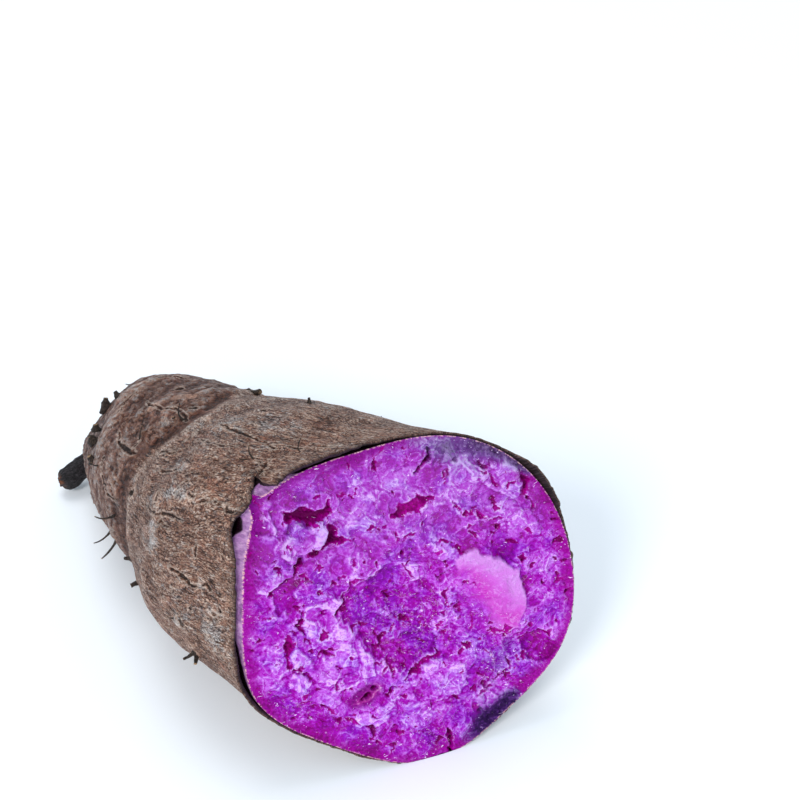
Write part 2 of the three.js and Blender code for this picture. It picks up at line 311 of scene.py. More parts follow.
        (0.9, [(30.3, -3.6), (31, -3.4), (31.7, -4), (31.1, -4.4), (30.5, -4.1)]),
        (0.7, [(13.4, -10.9), (14.6, -10.2), (16.6, -10.6), (17.2, -9.8), (17.7, -10.5), (19, -10.9),
            (18, -11.6), (15.5, -11.4)]),
        (2, [(8.6, -24.2), (9.4, -23), (10.8, -22.4), (12, -22), (12.2, -22.9), (10.6, -23.1),
            (9.4, -23.7)]),
        (1.4, [(-24.2, 28.2), (-23.2, 28.4), (-22.7, 27.2), (-22.6, 25.8), (-22.2, 24.9), (-22.6, 24.8),
            (-23.1, 26.2)])],
    # slits: width, depth, places along them
    "slits": [
        (0.45, 2.2, [(7.2, 24.9), (8.3, 26), (9.2, 26.8), (10.4, 27.4), (10.8, 28.6), (11, 29.2)]),
        (0.3, 0.9, [(-11.7, 4.4), (-10.2, 5.1), (-9.8, 6.5), (-8, 6.7), (-6.8, 6.1), (-5.2, 6.9),
            (-4.2, 7.2)]),
        (0.4, 1.2, [(-11.7, 4), (-11.9, 2.5), (-12.6, 1.9), (-13.4, 1.3), (-13.9, 0.2)]),
        (0.4, 1.4, [(-20.6, 3), (-20.8, 1), (-21.3, 0), (-20.9, -1.2), (-20.6, -2)]),
        (0.3, 1, [(-20.9, -2.8), (-20, -3.5)]), (0.35, 1, [(-23.1, -0.7), (-22.4, -1.2)]),
        (0.35, 1.2, [(0.2, 8), (0.8, 6.8), (1.5, 5), (2.1, 4.4)]),
        (0.3, 0.9, [(-25.3, 7.3), (-24, 8.7), (-21.3, 9.7), (-19.9, 10.1)]),
        (0.25, 0.7, [(-25.5, -9), (-24.5, -8.8), (-23, -9.5), (-22.2, -10), (-22, -11.3),
            (-21.5, -12.2)]),
        (0.3, 1.4, [(-21.3, -16.9), (-20.7, -17.6), (-20.4, -18.2)]),
        (0.45, 0.9, [(-13.9, -23.5), (-12.9, -24.2), (-12.8, -25.5), (-13.2, -26.4)]),
        (0.35, 0.8, [(-10.6, -28.5), (-9.5, -29.2)]), (0.3, 0.7, [(-13.8, -26.7), (-13.4, -26.9)]),
        (0.35, 0.9, [(-19.3, -7), (-18, -6.1), (-17.5, -6.9), (-16.7, -7.4)]),
        (0.4, 0.9, [(-17.6, -13), (-17.9, -14.6)]),
        (0.35, 1.3, [(-8.8, -18.6), (-8, -17.9), (-6.9, -17.5), (-6, -17.3)]),
        (0.45, 1.4, [(-4.6, -16.8), (-3.8, -16), (-2.6, -15.5), (-1.4, -15.4), (-1.1, -14.2),
            (-0.1, -13.3), (1.6, -13.1), (3.2, -12.7), (2.8, -11.5)]),
        (0.3, 0.9, [(-9.6, -11.3), (-8.6, -11.8), (-7.6, -11.4)]),
        (0.3, 1, [(-7.6, -4.6), (-7.3, -6.5), (-7.1, -8.2), (-6.5, -9.8)]),
        (0.5, 1.4, [(1.3, -28.8), (1.5, -31), (1.1, -33.6)]),
        (0.25, 0.8, [(1.6, 12.8), (2.5, 13.2), (3.5, 13.3), (4.4, 13.1)]),
        (0.25, 0.8, [(0.5, 14.6), (1.3, 13.5)]), (0.25, 0.7, [(5.8, 14.8), (6.8, 15.1)]),
        (0.22, 1, [(6.3, 3.6), (7, 3), (7.8, 2.9), (8.2, 3.3), (8.6, 3.7)]),
        (0.3, 0.8, [(20.1, 24.6), (20, 23.6), (20.8, 23.1), (21.8, 23.5)]),
        (0.3, 0.7, [(20.8, 21.4), (21.5, 19.9), (22.5, 18.5)]), (0.3, 0.9, [(27.5, 15), (28.3, 12.3)]),
        (0.3, 0.8, [(20.4, 12.1), (21.8, 12.2)]), (0.35, 0.8, [(16.6, 15.4), (17.4, 15.6)]),
        (0.3, 0.8, [(13, 17.8), (13.4, 16.5), (14.2, 15.7)]), (0.3, 0.8, [(6.5, -0.2), (6.8, -1.2)]),
        (0.35, 0.8, [(5.9, -4.9), (6.4, -3.9)]), (0.3, 0.7, [(12.6, 0), (13.3, 0.3), (13.4, -0.8)]),
        (0.35, 1.1, [(19.8, -14), (21.3, -13.6), (22.2, -13.8), (23.2, -13.6), (24, -13), (24.6, -13.8),
            (25.8, -14.8)]),
        (0.3, 1, [(16.4, -16.8), (16.8, -18.4), (16.2, -19.8), (14.6, -20.6), (12.6, -21.2)]),
        (0.25, 0.7, [(11.7, -18.8), (12, -18.6)]), (0.25, 0.7, [(30.7, -7), (31.9, -6), (33, -6.5)]),
        (0.3, 1, [(32.9, 8.9), (31.6, 8.9)]), (0.3, 0.8, [(-23.1, 14.4), (-22.2, 14.6)])],
    # small round holes: across, up, radius
    "dots": [
        (-20.6, 3.9, 0.45), (-19.4, 3.6, 0.35), (-4.1, 9.1, 0.35), (-1.2, 16.1, 0.35), (-7.4, 8, 0.3),
        (-11.9, 7.6, 0.3), (-10.9, 7.7, 0.3), (-16.3, 1.9, 0.3), (-16, -15.4, 0.35), (-15, -15.2, 0.35),
        (-4.6, -26.4, 0.35), (-12.7, -27.7, 0.4), (-13.6, -8.8, 0.3), (9.5, -17.2, 0.3),
        (7.1, -2.9, 0.35), (27.9, -12.7, 0.3), (24, -8.3, 0.25), (15, 26, 0.4), (1.2, 9.9, 0.5),
        (-18.5, 9.2, 0.3)],
    # the round spot at the bottom: across, up, half length, half width, degrees
    "eye": (-12.6, -17.3, 3.9, 1.9, 22),
    # soft spots of colour: across, up, radius, how pale (below 0 deeper)
    "paleSpots": [
        (-13.3, 18.3, 2, 0.45), (-17.2, 20, 1.3, 0.5), (-16.3, 17, 2, -0.25), (-22, 11.3, 1.8, 0.45),
        (-26.4, 8.8, 1.3, 0.3), (-26.5, 16, 4, -0.45), (-27.5, -1, 3, 0.2), (-28, -6, 3, 0.3),
        (-7, 20, 4, 0.3), (-2, 26, 4, 0.25), (4, 24, 4, 0.2), (14, 21.5, 4, 0.2),
        (23.5, 20.5, 2.5, 0.15), (24, 13, 3, 0.25), (27, 1, 3, 0.15), (8, 10, 3, 0.1),
        (-3, 12, 4, 0.15), (5.5, -18.5, 3, 0.2), (1.5, -25.5, 2.5, 0.25), (-8, -23, 3, 0.2),
        (-20.5, -16, 2, 0.3), (-28.5, -15, 4, -0.4), (-22, -22.5, 4, -0.45), (-14, -29, 5, -0.35),
        (-3, -31, 5, -0.35), (22, -17, 4, -0.25), (-15, 26.5, 4, -0.25), (-4, 30.5, 4, -0.3),
        (6, 30, 3, -0.2), (31, 14, 4, -0.35), (-4, 3, 4, -0.15), (4, -2, 3, 0.1), (-9, 1, 4, 0.05)],
    # bruises: across, up, radius, how strong
    "bruises": [
        (3.5, -32.4, 1.8, 0.3), (6, -31.8, 2.2, 0.7), (9, -30.8, 2.5, 1.1), (12, -29.3, 2.5, 1.2),
        (14.4, -27.4, 2.2, 1.1), (16.4, -25.6, 1.7, 0.7), (11.5, -26.3, 3, 0.35), (8, -27.6, 2.6, 0.3),
        (9.5, -21.5, 2.6, 0.35), (12.8, -19, 3, 0.4), (15.8, -16, 3, 0.4), (18, -13, 2.4, 0.25),
        (8.5, 31.4, 2.4, 0.35), (12, 30.2, 2.6, 0.35), (16, 29.6, 2.8, 0.5), (20.5, 28.2, 3, 1),
        (24.5, 26.2, 2.6, 1.2), (27.6, 23, 2.2, 1.1), (28.8, 20.6, 1.8, 0.9), (13.5, 27, 3.6, 0.3),
        (10, 26, 4, 0.2), (15, 24, 4, 0.3), (20, 24, 3, 0.3)],
    "roughSpots": [
        (-1.5, -5, 8, 1), (-10, 3, 4, 0.8), (-17, 6.5, 3.5, 0.8), (11, -14, 5, 0.8), (8, -3, 4, 0.6),
        (26, -1, 4, 0.5), (15, -18, 4, 1), (-27, -17, 5, 0.8), (3, 11, 5, 0.5), (-15, 27, 4, 0.4),
        (-2, -28, 6, 0.8)],
    "broadWaves": 0.9, "lowLumps": 0.35, "ledgeStep": 0.45, "pitDepth": 0.7,   # heights of the relief
    "baseTone": 0.46,                    # higher is paler
    "layers": 6.5, "layerShare": 0.34,   # how many broken layers, and how much they show
    "paleShare": 0.34,                   # how much the soft spots and plates count
    # colours from 0 to 255, each at its place on a scale from deep to pale
    "warm": [(0, (118, 0, 100)), (0.2, (142, 0, 136)), (0.4, (156, 4, 168)), (0.6, (174, 62, 196)),
             (0.8, (192, 114, 218)), (1, (218, 170, 238))],
    "cool": [(0, (92, 0, 108)), (0.2, (118, 0, 150)), (0.4, (136, 8, 176)), (0.6, (150, 64, 196)),
             (0.8, (174, 118, 218)), (1, (204, 172, 236))],
    "lumpTones": [(0, (206, 138, 216)), (0.45, (200, 96, 202)), (0.9, (190, 42, 174))],
    "rimTones": [(0.3, (112, 0, 100)), (0.45, (140, 0, 130)), (0.7, (156, 0, 152)),
                 (0.98, (186, 44, 194))],
    "tornTones": [(0, (96, 0, 74)), (0.2, (124, 0, 100)), (0.4, (150, 0, 126)), (0.62, (166, 4, 154))],
    "lowBruise": [(0.3, (24, 4, 42)), (0.5, (46, 14, 72)), (0.7, (92, 44, 124))],
    "topBruise": [(0.3, (44, 18, 56)), (0.5, (80, 50, 100)), (0.7, (126, 100, 146))],
    "lowBruiseFaint": [(0.1, (44, 2, 66)), (0.5, (90, 28, 128)), (0.9, (160, 122, 196))],
    "topBruiseFaint": [(0.1, (60, 24, 92)), (0.5, (116, 76, 152)), (0.9, (180, 160, 210))],
    "eyeTones": [(0.3, (90, 4, 98)), (0.5, (124, 14, 120)), (0.7, (164, 44, 140)),
                 (0.95, (234, 184, 222))],
    "sideTones": [(0.3, (112, 72, 118)), (0.48, (152, 108, 158)), (0.68, (194, 150, 192))],
    # the upper face, the upper rim and the side under the skin are painted shade; the lips and glints
    # are painted highlights
    "upperShade": (124, 96, 144), "upperRimShade": (92, 10, 112), "underSkinShade": (22, 6, 16),
    "lumpSpecks": (222, 170, 234), "lumpBlush": (206, 70, 200), "highlitLips": (226, 186, 244),
    "glints": (240, 212, 252), "beads": (216, 152, 224), "edgeLine": (228, 176, 180),
}


def fromTable(table, angle):
    degrees = np.degrees(angle) % 360
    return np.interp(degrees, [row[0] for row in table], [row[1] for row in table])


def ledges(field, step, slope):
    # a smooth field turned into flat steps with steep fronts
    level = field / step
    low = np.floor(level)
    t = level - low
    return step * (low + 0.75 * np.clip(t / slope, 0, 1) + 0.25 * t)


def ovalPlace(u, v, oval):
    # distance from an oval's middle, 1 on its line, and the places along it and, as a share, across it
    cu, cv, halfLength, halfWidth, degrees = oval
    c, s = cos(radians(degrees)), sin(radians(degrees))
    du, dv = u - cu, v - cv
    lengthwise, across = du * c + dv * s, (dv * c - du * s) / halfWidth
    return np.hypot(lengthwise / halfLength, across), lengthwise, across


def depthInside(u, v, outline):
    # how far each place lies inside a closed outline, negative outside it
    near, _ = lineDistance(u, v, outline + outline[:1])
    inside = np.zeros(u.shape, bool)
    for (u0, v0), (u1, v1) in zip(outline, outline[1:] + outline[:1]):
        crosses = (v0 > v) != (v1 > v)
        inside ^= crosses & (u < (u1 - u0) * (v - v0) / (v1 - v0 + 1e-12) + u0)
    return np.where(inside, near, -near)


def softSpots(u, v, spots):
    return sum(strength * np.exp(-((u - cu) ** 2 + (v - cv) ** 2) / radius ** 2)
               for cu, cv, radius, strength in spots)


def fleshRelief(u, v, fromRim):
    # height of the broken face, how far each place lies inside a hole, and masks for the colour
    flat = np.stack([u, v, np.zeros_like(u)], -1)
    broadU, broadV = roughly(flat, 6.0, 2, 1) * 1.6, roughly(flat, 6.0, 2, 2) * 1.6
    fineU, fineV = roughly(flat, 1.6, 3, 3) * 0.55, roughly(flat, 1.6, 3, 4) * 0.55
    nu, nv = u + fineU, v + fineV
    bent = np.stack([u + broadU + fineU, v + broadV + fineV, np.zeros_like(u)], -1)
    eye, lengthwise, across = ovalPlace(u, v, flesh["eye"])
    # the lump ends sharply at its top and right and runs out softly at its left and bottom
    fromLeft = 0.967 * (u - 10.3) + 0.254 * (v - 6.2)
    lump = smooth(depthInside(nu, nv, flesh["lump"]), -0.05, 0.35)
    lump *= np.maximum(smooth(fromLeft, 0, 3), smooth(v, 2, 4.5)) * smooth(v, -13.5, -10)
    core = dip(lineDistance(u, v, flesh["lumpCore"])[0], 3.4)
    rough = np.clip(softSpots(u, v, flesh["roughSpots"]), 0, 1)
    calm = (0.3 + 0.7 * smooth(fromRim, 1.0, 4.5)) * (1 - 0.95 * lump) * (1 - 0.8 * dip(eye, 1.0))
    height = flesh["broadWaves"] * roughly(flat, 21.0, 1, 9)
    height += flesh["lowLumps"] * roughly(flat, 6.5, 2, 11) * calm
    height += calm * ledges(roughly(bent, 6.0, 3, 5), flesh["ledgeStep"], 0.14)
    height += calm * (0.05 + 0.05 * rough) * roughly(flat, 0.9, 3, 10)
    pale = softSpots(u, v, flesh["paleSpots"])
    for rise, slope, paler, outline in flesh["plates"]:
        inside = smooth(depthInside(nu, nv, outline), -0.1, slope)
        height, pale = height + rise * inside, pale + paler * inside
    height += flesh["lumpRise"] * lump * (0.4 + 0.6 * smooth(u + 0.7 * v, 8, 18))
    # holes, slits and many small torn pits
    torn = roughly(bent, 2.3, 4, 8) + 0.06 * rough
    hole = (torn - 0.5) * 2.2 - 2.0 * lump - 1.5 * dip(eye, 1.0)
    height -= flesh["pitDepth"] * smooth(hole, -0.05, 0.4)
    for depth, outline in flesh["holes"]:
        inside = depthInside(nu, nv, outline)
        hole = np.maximum(hole, inside)
        height -= 0.65 * depth * smooth(inside, -0.1, 0.7)
    for width, depth, points in flesh["slits"]:
        near, share = lineDistance(nu, nv, points)
        wide = width * (0.4 + 0.6 * taper(share)) * (0.9 + 0.9 * fineU)
        hole = np.maximum(hole, wide - near)
        height -= depth * smooth(wide - near, -0.15, 0.3)
    for cu, cv, radius in flesh["dots"]:
        inside = radius - np.hypot(nu - cu, nv - cv)
        hole = np.maximum(hole, inside)
        height -= 0.8 * smooth(inside, -0.1, 0.3)
    # the round spot: a shallow dish with two slits
    height -= 0.5 * (1 - smooth(eye, 0.5, 1.1))
    ragged = across + 0.35 * fineV
    slit = np.maximum(0.25 - np.hypot(ragged + 0.3, 0.2 * (lengthwise + 0.2)),
                      0.22 - np.hypot(ragged, 0.33 * (lengthwise - 2.1)))
    hole = np.maximum(hole, slit * 2.5)
    height -= 1.8 * smooth(slit, -0.05, 0.15)
    inEye = 1 - smooth(eye, 0.55, 1.4)
    curl = dip(slit + 0.13, 0.11) * smooth(-across, -0.5, 0.5)
    curl += 0.6 * dip(eye - 0.85, 0.1) * smooth(lengthwise, 1.5, 3.5)
    height += 0.25 * curl * (0.5 + fineU)
    pale = pale * (1 - inEye) + 0.45 * curl
    return height, dict(lump=lump, core=core, eye=inEye, rough=rough, pale=pale, hole=hole)


def makeFlesh():
    cells, sideRings = flesh["cells"], flesh["sideRings"]
    piece = gridPiece("flesh", cells, cells)
    half = cells / 2
    faceCells = half - sideRings
    j, i = np.mgrid[-half:half + 1, -half:half + 1]
    ring = np.maximum(np.abs(i), np.abs(j))
    scale = np.where(ring > faceCells, np.maximum(ring, 1), faceCells)
    a, b = i / scale, j / scale
    du, dv = a * np.sqrt(1 - b * b / 2), b * np.sqrt(1 - a * a / 2)
    reach, angle = np.minimum(np.hypot(du, dv), 1), np.arctan2(dv, du)
    side = np.clip((ring - faceCells) / sideRings, 0, 1)
    onFace = side == 0
    inset = fromTable(flesh["edgeInset"], angle)
    edge = outlineRadius(angle) - inset
    u, v = reach * edge * np.cos(angle), reach * edge * np.sin(angle)
    fromRim = (1 - reach) * edge
    height, masks = fleshRelief(u, v, fromRim)
    height *= 1 - 0.75 * (1 - smooth(fromRim, 0, 1.2))
    # the side swells out from the face's edge to the skin, then runs back under it
    back = flesh["sideDepth"] * side ** 1.4
    bare = fromTable(flesh["bareSide"], angle)
    under = inset + bare * (0.5 - inset) * smooth(back, -0.3, 2.6) + 0.9 * smooth(back, 3.5, 8)
    overSide = height * np.clip(1 - back / 0.8, 0, 1)
    sidePlaces = yamPoint(back / yamLength, angle, under) + overSide[..., None] * faceNormal
    y = -(faceNormal[0] * u + faceNormal[2] * v) / faceNormal[1]
    facePlaces = faceMiddle + np.stack([u, y, v], -1) + height[..., None] * faceNormal
    places = np.where(onFace[..., None], facePlaces, sidePlaces)
    # painted shade and light follow the relief, darker in hollows and paler on crests, but deep holes
    # don't bleach the flesh beside them
    shallow = np.maximum(height, blurred(height, 13) - 0.4)
    keepValues(piece, deep=standOut(shallow, 13, 1.1), hollow=standOut(shallow, 3.5, 0.4),
               crest=standOut(shallow, 1.1, 0.1), sunk=np.maximum(-standOut(height, 10, 2.0), 0),
               fromRim=np.where(onFace, fromRim, -back), bare=bare,
               bruise=softSpots(u, v, flesh["bruises"]), **masks)
    keepVector(piece, "facePlace", np.stack([u, v, height - back], -1))
    placeVertices(piece, places)
    # close the back, out of sight under the skin
    bpy.ops.object.mode_set(mode="EDIT")
    bpy.ops.mesh.select_all(action="DESELECT")
    bpy.ops.mesh.select_non_manifold()
    bpy.ops.mesh.extrude_edges_move()
    bpy.ops.mesh.merge(type="CENTER")
    bpy.ops.object.mode_set(mode="OBJECT")
    closeUp(piece)
    return piece


# the skin
skin = {
    "around": 560,
    "alongCells": 170,
    "thickness": 0.45,
    "innerRows": (8, 8, 5, 2.2, 0.7, 0),   # how far in the rows of the inner face lie, the edge last
    "grainRadius": 34,                   # the grain is laid out as if on a round bar this thick
    # the torn edge: degrees round of a column, degrees round where it ends, millimetres back of the rim
    "edge": [
        (0, 0, 0.4), (12, 12, 0.4), (20, 20, 0.3), (30, 30, 0), (36, 36, 0.2), (48, 48, 0.4),
        (75, 75, 0.4), (83, 83, 0.7), (90, 90, 0.2), (93, 93, -0.35), (102, 102.5, -1.6),
        (109, 110, -2.1), (114, 115, -2.2), (117, 119, -2.6), (119, 122.4, -2.7), (119.8, 123.8, -1.6),
        (120.4, 124.7, -0.3), (121, 122.6, 4.2), (121.6, 120, 8.2), (122.3, 121.9, 6.8),
        (123.5, 124, 4.8), (125.5, 127.3, 1.2), (128, 130.3, -1.3), (132, 134, -1.5),
        (135.5, 136.6, -0.9), (138.5, 139.2, 0.5), (142, 142.3, 0.9), (145, 145, 0.2), (150, 150, -0.8),
        (158, 158, -0.4), (165, 165, 0), (172, 172, 0.2), (179, 179, 0), (185, 185, -0.9),
        (191, 191, -1.3), (199, 199, -1.3), (205, 205, -0.2), (212, 212, 0.3), (225, 225, 0.4),
        (260, 260, 0.4), (300, 300, 0.4), (330, 330, 0.5), (360, 360, 0.4)],
    # how far it stands off the flesh there: degrees round, millimetres
    "lift": [
        (0, 0.3), (12, 0.5), (18, 1), (24, 1.3), (34, 1.6), (40, 1), (48, 0.35), (70, 0.25), (85, 0.3),
        (93, 0.8), (104, 1.2), (113, 1.2), (118, 0.9), (122, 0.6), (126, 0.5), (130, 0.7), (136, 0.8),
        (142, 0.5), (150, 0.3), (165, 0.4), (172, 0.5), (178, 0.7), (184, 1.2), (188, 1.6), (193, 1.9),
        (199, 1.6), (205, 0.9), (212, 0.35), (230, 0.2), (300, 0.15), (345, 0.2), (360, 0.3)],
    "crowded": (121.5, 5, 4),            # degrees round, width, how much closer the columns stand
    # the ridge where the tail lobe begins: degrees round, y
    "shoulder": [
        (0, 19), (50, 17), (78, 8.1), (94, 5), (106, 5), (116, 6.2), (127, 9.9), (137, 11.5),
        (150, 9.5), (176, 6.5), (200, 8.5), (250, 14), (310, 18), (360, 19)],
    "shoulderHeight": 0.3,
    # broad rises and hollows: degrees round, y, radius, height
    "rises": [
        (160, 46, 10, -2.5), (122, 49, 8, -2.3), (92, 42, 9, 1.1), (205, 30, 9, -0.7),
        (178, 14, 7, -0.7), (190, 8, 6, -0.9), (203, -24, 9, -0.6), (203, -38, 8, -0.5)],
    # degrees round, y, radius, how far it rises, how deep its pit
    "scars": [
        (85, 26.7, 2.6, 0.4, 1), (85, -7.3, 2, 0.3, 0.9), (150, 8.8, 1.6, 0.5, 0.5),
        (142, -5.7, 2.4, 0.6, 0.3), (136, -17.5, 3.2, 0.6, 0), (168, -12.2, 1.1, 0.3, 0.5),
        (126, -7.6, 1.1, 0.6, 0), (186, -19.9, 1, 0.4, 0), (198, -23.5, 1.6, 0.5, 0.5),
        (125, 3.5, 1.4, 0.3, 0.5), (158, 20, 2.6, 0.5, 0.3), (120, 36, 2.4, 0.5, 0.4),
        (96, 40, 2.2, 0.5, 0.6), (182, 5.3, 1.5, 0.4, 0), (198, 4.4, 1.5, 0.4, 0),
        (52, 16.4, 1.8, 0.4, 0), (30, -30, 1.8, 0.4, 0.7), (12, -6, 2.4, 0.5, 0.7),
        (-20, -28, 1.6, 0.4, 0.6), (-35, 2, 2.2, 0.5, 0.6), (28, 32, 2, 0.5, 0.7),
        (-8, 24, 2.2, 0.5, 0.7), (-48, 34, 2, 0.4, 0.6), (225, -8, 1.8, 0.4, 0.6),
        (238, 22, 2, 0.5, 0.6), (60, 44, 2, 0.4, 0.5), (0, 44, 1.8, 0.4, 0.5), (215, 40, 2, 0.4, 0.5)],
    # width, depth, degrees round and y of its corners
    "creases": [
        (1, 0.8, [(131, 28.3), (134, 25.6), (135, 22.2), (135, 18.7), (134, 17)]),
        (0.5, 0.4, [(128, 18.7), (132, 19.1), (134, 17)]),
        (0.5, 0.5, [(105, 29.6), (106, 26.3), (105, 21.8), (103, 17.6)]),
        (0.7, 0.4, [(101, 18.3), (102, 15.3)]), (0.6, 0.4, [(101, 15.1), (104, 11.1)]),
        (0.9, 0.4, [(96, 14.9), (94, 13.3)]),
        (0.4, 0.4, [(129, 8.5), (124, 6.2), (123, 2.9), (121, 1.4)]),
        (0.45, 0.4, [(115, 2.5), (111, 1.7), (106, 1.7)]),
        (0.4, 0.35, [(112, -1.2), (112, -7.3), (112, -11.8), (110, -15.1)]),
        (0.5, 0.4, [(132, 3.6), (130, -1.9), (128, -5.9)]),
        (0.7, 0.6, [(101, -2.9), (102, -7.6), (102, -12.4), (103, -15.9), (104, -19.5)]),
        (0.7, 0.6, [(124, -27.8), (120, -26.7), (115, -25.9), (112, -25.2)]),
        (0.5, 0.5, [(116, -25), (112, -22.2)]), (0.8, 0.5, [(104, -21), (106, -23.4)]),
        (0.6, 0.5, [(102, -23.9), (102, -25.9), (102, -28)]),
        (0.6, 0.5, [(99, -27.8), (97, -28.3), (98, -30.3), (97, -33)]),
        (1.1, 0.7, [(140, -4.3), (144, -5.4)]), (1.2, 0.5, [(148, 9.2), (153, 9.6)]),
        (0.6, 0.5, [(147, -0.1), (148, -4.2), (147, -7.8), (145, -10.4), (144, -14), (144, -17)]),
        (0.6, 0.5, [(150, -9.5), (148, -10.4), (150, -13.5)]), (0.7, 0.5, [(150, -22.2), (155, -22.8)]),
        (0.4, 0.4, [(130, -12.3), (134, -11.1), (136, -12)]), (0.6, 0.5, [(134, -14.6), (135, -17.5)]),
        (0.7, 0.5, [(137, -19), (135, -20.2), (134, -21.6)]), (0.7, 0.5, [(134, -23.1), (135, -25.2)]),
        (0.7, 0.5, [(134, -25.9), (136, -28.3), (136, -30)]),
        (1, 0.7, [(164, -16.6), (164, -19.7), (165, -21.1), (167, -23), (166, -25)]),
        (0.8, 0.6, [(164, -25.5), (164, -27.2), (166, -28.4)]),
        (0.6, 0.5, [(172, -30.3), (175, -31.2), (176, -32)]), (0.5, 0.4, [(170, -31.2), (172, -32.8)]),
        (0.6, 0.4, [(182, -28.4), (184, -29.6)]), (0.6, 0.4, [(176, -23.3), (178, -24.1)]),
        (0.5, 0.4, [(172, -17.2), (174, -18.4)]), (0.5, 0.4, [(176, -28), (178, -30)]),
        (1.1, 0.5, [(182, -20.3), (186, -22.1)]), (0.8, 0.4, [(188, -33.4), (188, -34.4)]),
        (0.5, 0.4, [(188, -36.6), (190, -37.4)]), (0.5, 0.4, [(196, -34.9), (195, -37.4)]),
        (0.7, 0.5, [(150, 30), (158, 27), (164, 22), (163, 17)]),
        (0.6, 0.5, [(104, 36), (112, 37), (120, 35)]), (0.6, 0.5, [(70, 30), (78, 36), (90, 38)]),
        (0.7, 0.5, [(20, -20), (22, -12), (18, -4)]), (0.7, 0.5, [(-15, -10), (-12, -2), (-16, 8)]),
        (0.7, 0.5, [(35, 4), (30, 12), (33, 20)]), (0.7, 0.5, [(-40, -20), (-44, -10), (-42, 0)]),
        (0.7, 0.5, [(230, -30), (226, -22), (228, -14)]), (0.7, 0.5, [(5, 10), (-2, 16), (0, 22)])],
    # degrees round, y, radius, how strong: rusty pink flecks
    "peachPatches": [
        (95, 22.5, 1.3, 0.8), (91, 20.6, 1.5, 1), (88, 19, 1.2, 0.8), (104, 24.8, 1.2, 0.9),
        (109, 25, 1.1, 0.9), (106, 20.4, 1, 0.8), (140, 30, 1.2, 0.6), (122, 22, 1, 0.5),
        (150, 14, 1.2, 0.5)],
    # degrees round, y, radius, how grey
    "greyPatches": [
        (158, -8.6, 2.6, 1.1), (153, -6.5, 1.6, 0.7), (126, -7.6, 1, 1.2), (136, -9, 2.2, 0.6),
        (134, -13, 2, 0.6), (145, -1.5, 1.6, 0.5), (182, -32, 2.4, 0.8), (180, -29, 1.8, 0.6),
        (186, -19.9, 0.8, 1), (145, 12, 1.4, 0.6), (90, -13.4, 2, 0.5), (88, -18.6, 2, 0.5),
        (125, -4, 2.5, 0.35), (60, 0, 6, 0.3), (20, -15, 6, 0.35), (-20, 12, 6, 0.35),
        (240, -15, 6, 0.3), (110, 30, 3, 0.3), (150, 38, 3, 0.3), (100, -6, 6, 0.3), (93, -15, 6, 0.35),
        (106, 3, 4, 0.2), (178, -22, 5, 0.3), (170, -30, 5, 0.3)],
    "fibres": {"Threads": 0.22, "Specks": 0.26, "Wrinkles": -0.32},
    "tailFibres": {"Threads": 0.1, "Specks": 0.1},
    "baseTone": 0.57,                    # higher is paler
    # colours from 0 to 255, each at its place on a scale from dark to pale
    "brown": [(0.08, (44, 24, 16)), (0.3, (92, 54, 40)), (0.5, (138, 95, 76)), (0.7, (178, 137, 115)),
              (0.95, (226, 200, 184))],
    "greyish": [(0.08, (40, 32, 32)), (0.3, (82, 69, 67)), (0.5, (130, 114, 110)),
                (0.7, (176, 160, 154)), (0.95, (226, 218, 216))],
    "reddish": [(0.08, (38, 18, 14)), (0.3, (92, 52, 40)), (0.5, (138, 86, 66)), (0.7, (174, 122, 98)),
                (0.95, (220, 184, 166))],
    # the inner face: its own dark colour, darker still as painted shade in the gap under the skin
    "insideToneAndShade": [(0.3, (18, 8, 14)), (0.7, (58, 32, 42))],
    # the bluish grey flecks are partly painted glints, and the crack lip is a painted highlight
    "peachTone": (190, 146, 126), "greyFlecksAndGlints": (168, 166, 178), "rustFlecks": (132, 74, 44),
    "crackHighlight": (212, 190, 176), "crackTone": (40, 26, 20), "edgeTone": (70, 44, 40),
}


def aboutRadius(y):
    # how thick the yam is there, near enough to lay out a crease
    return 30 * (1 - max(y, 0) / 120)


def aroundSkin(angle, y, size, degrees, markY):
    # millimetres round and along from a mark on the skin
    across = (np.degrees(angle) - degrees + 180) % 360 - 180
    return np.radians(across) * size, y - markY


def skinSpots(angle, y, size, spots):
    return sum(amount * dip(np.hypot(*aroundSkin(angle, y, size, degrees, markY)), radius)
               for degrees, markY, radius, amount in spots)


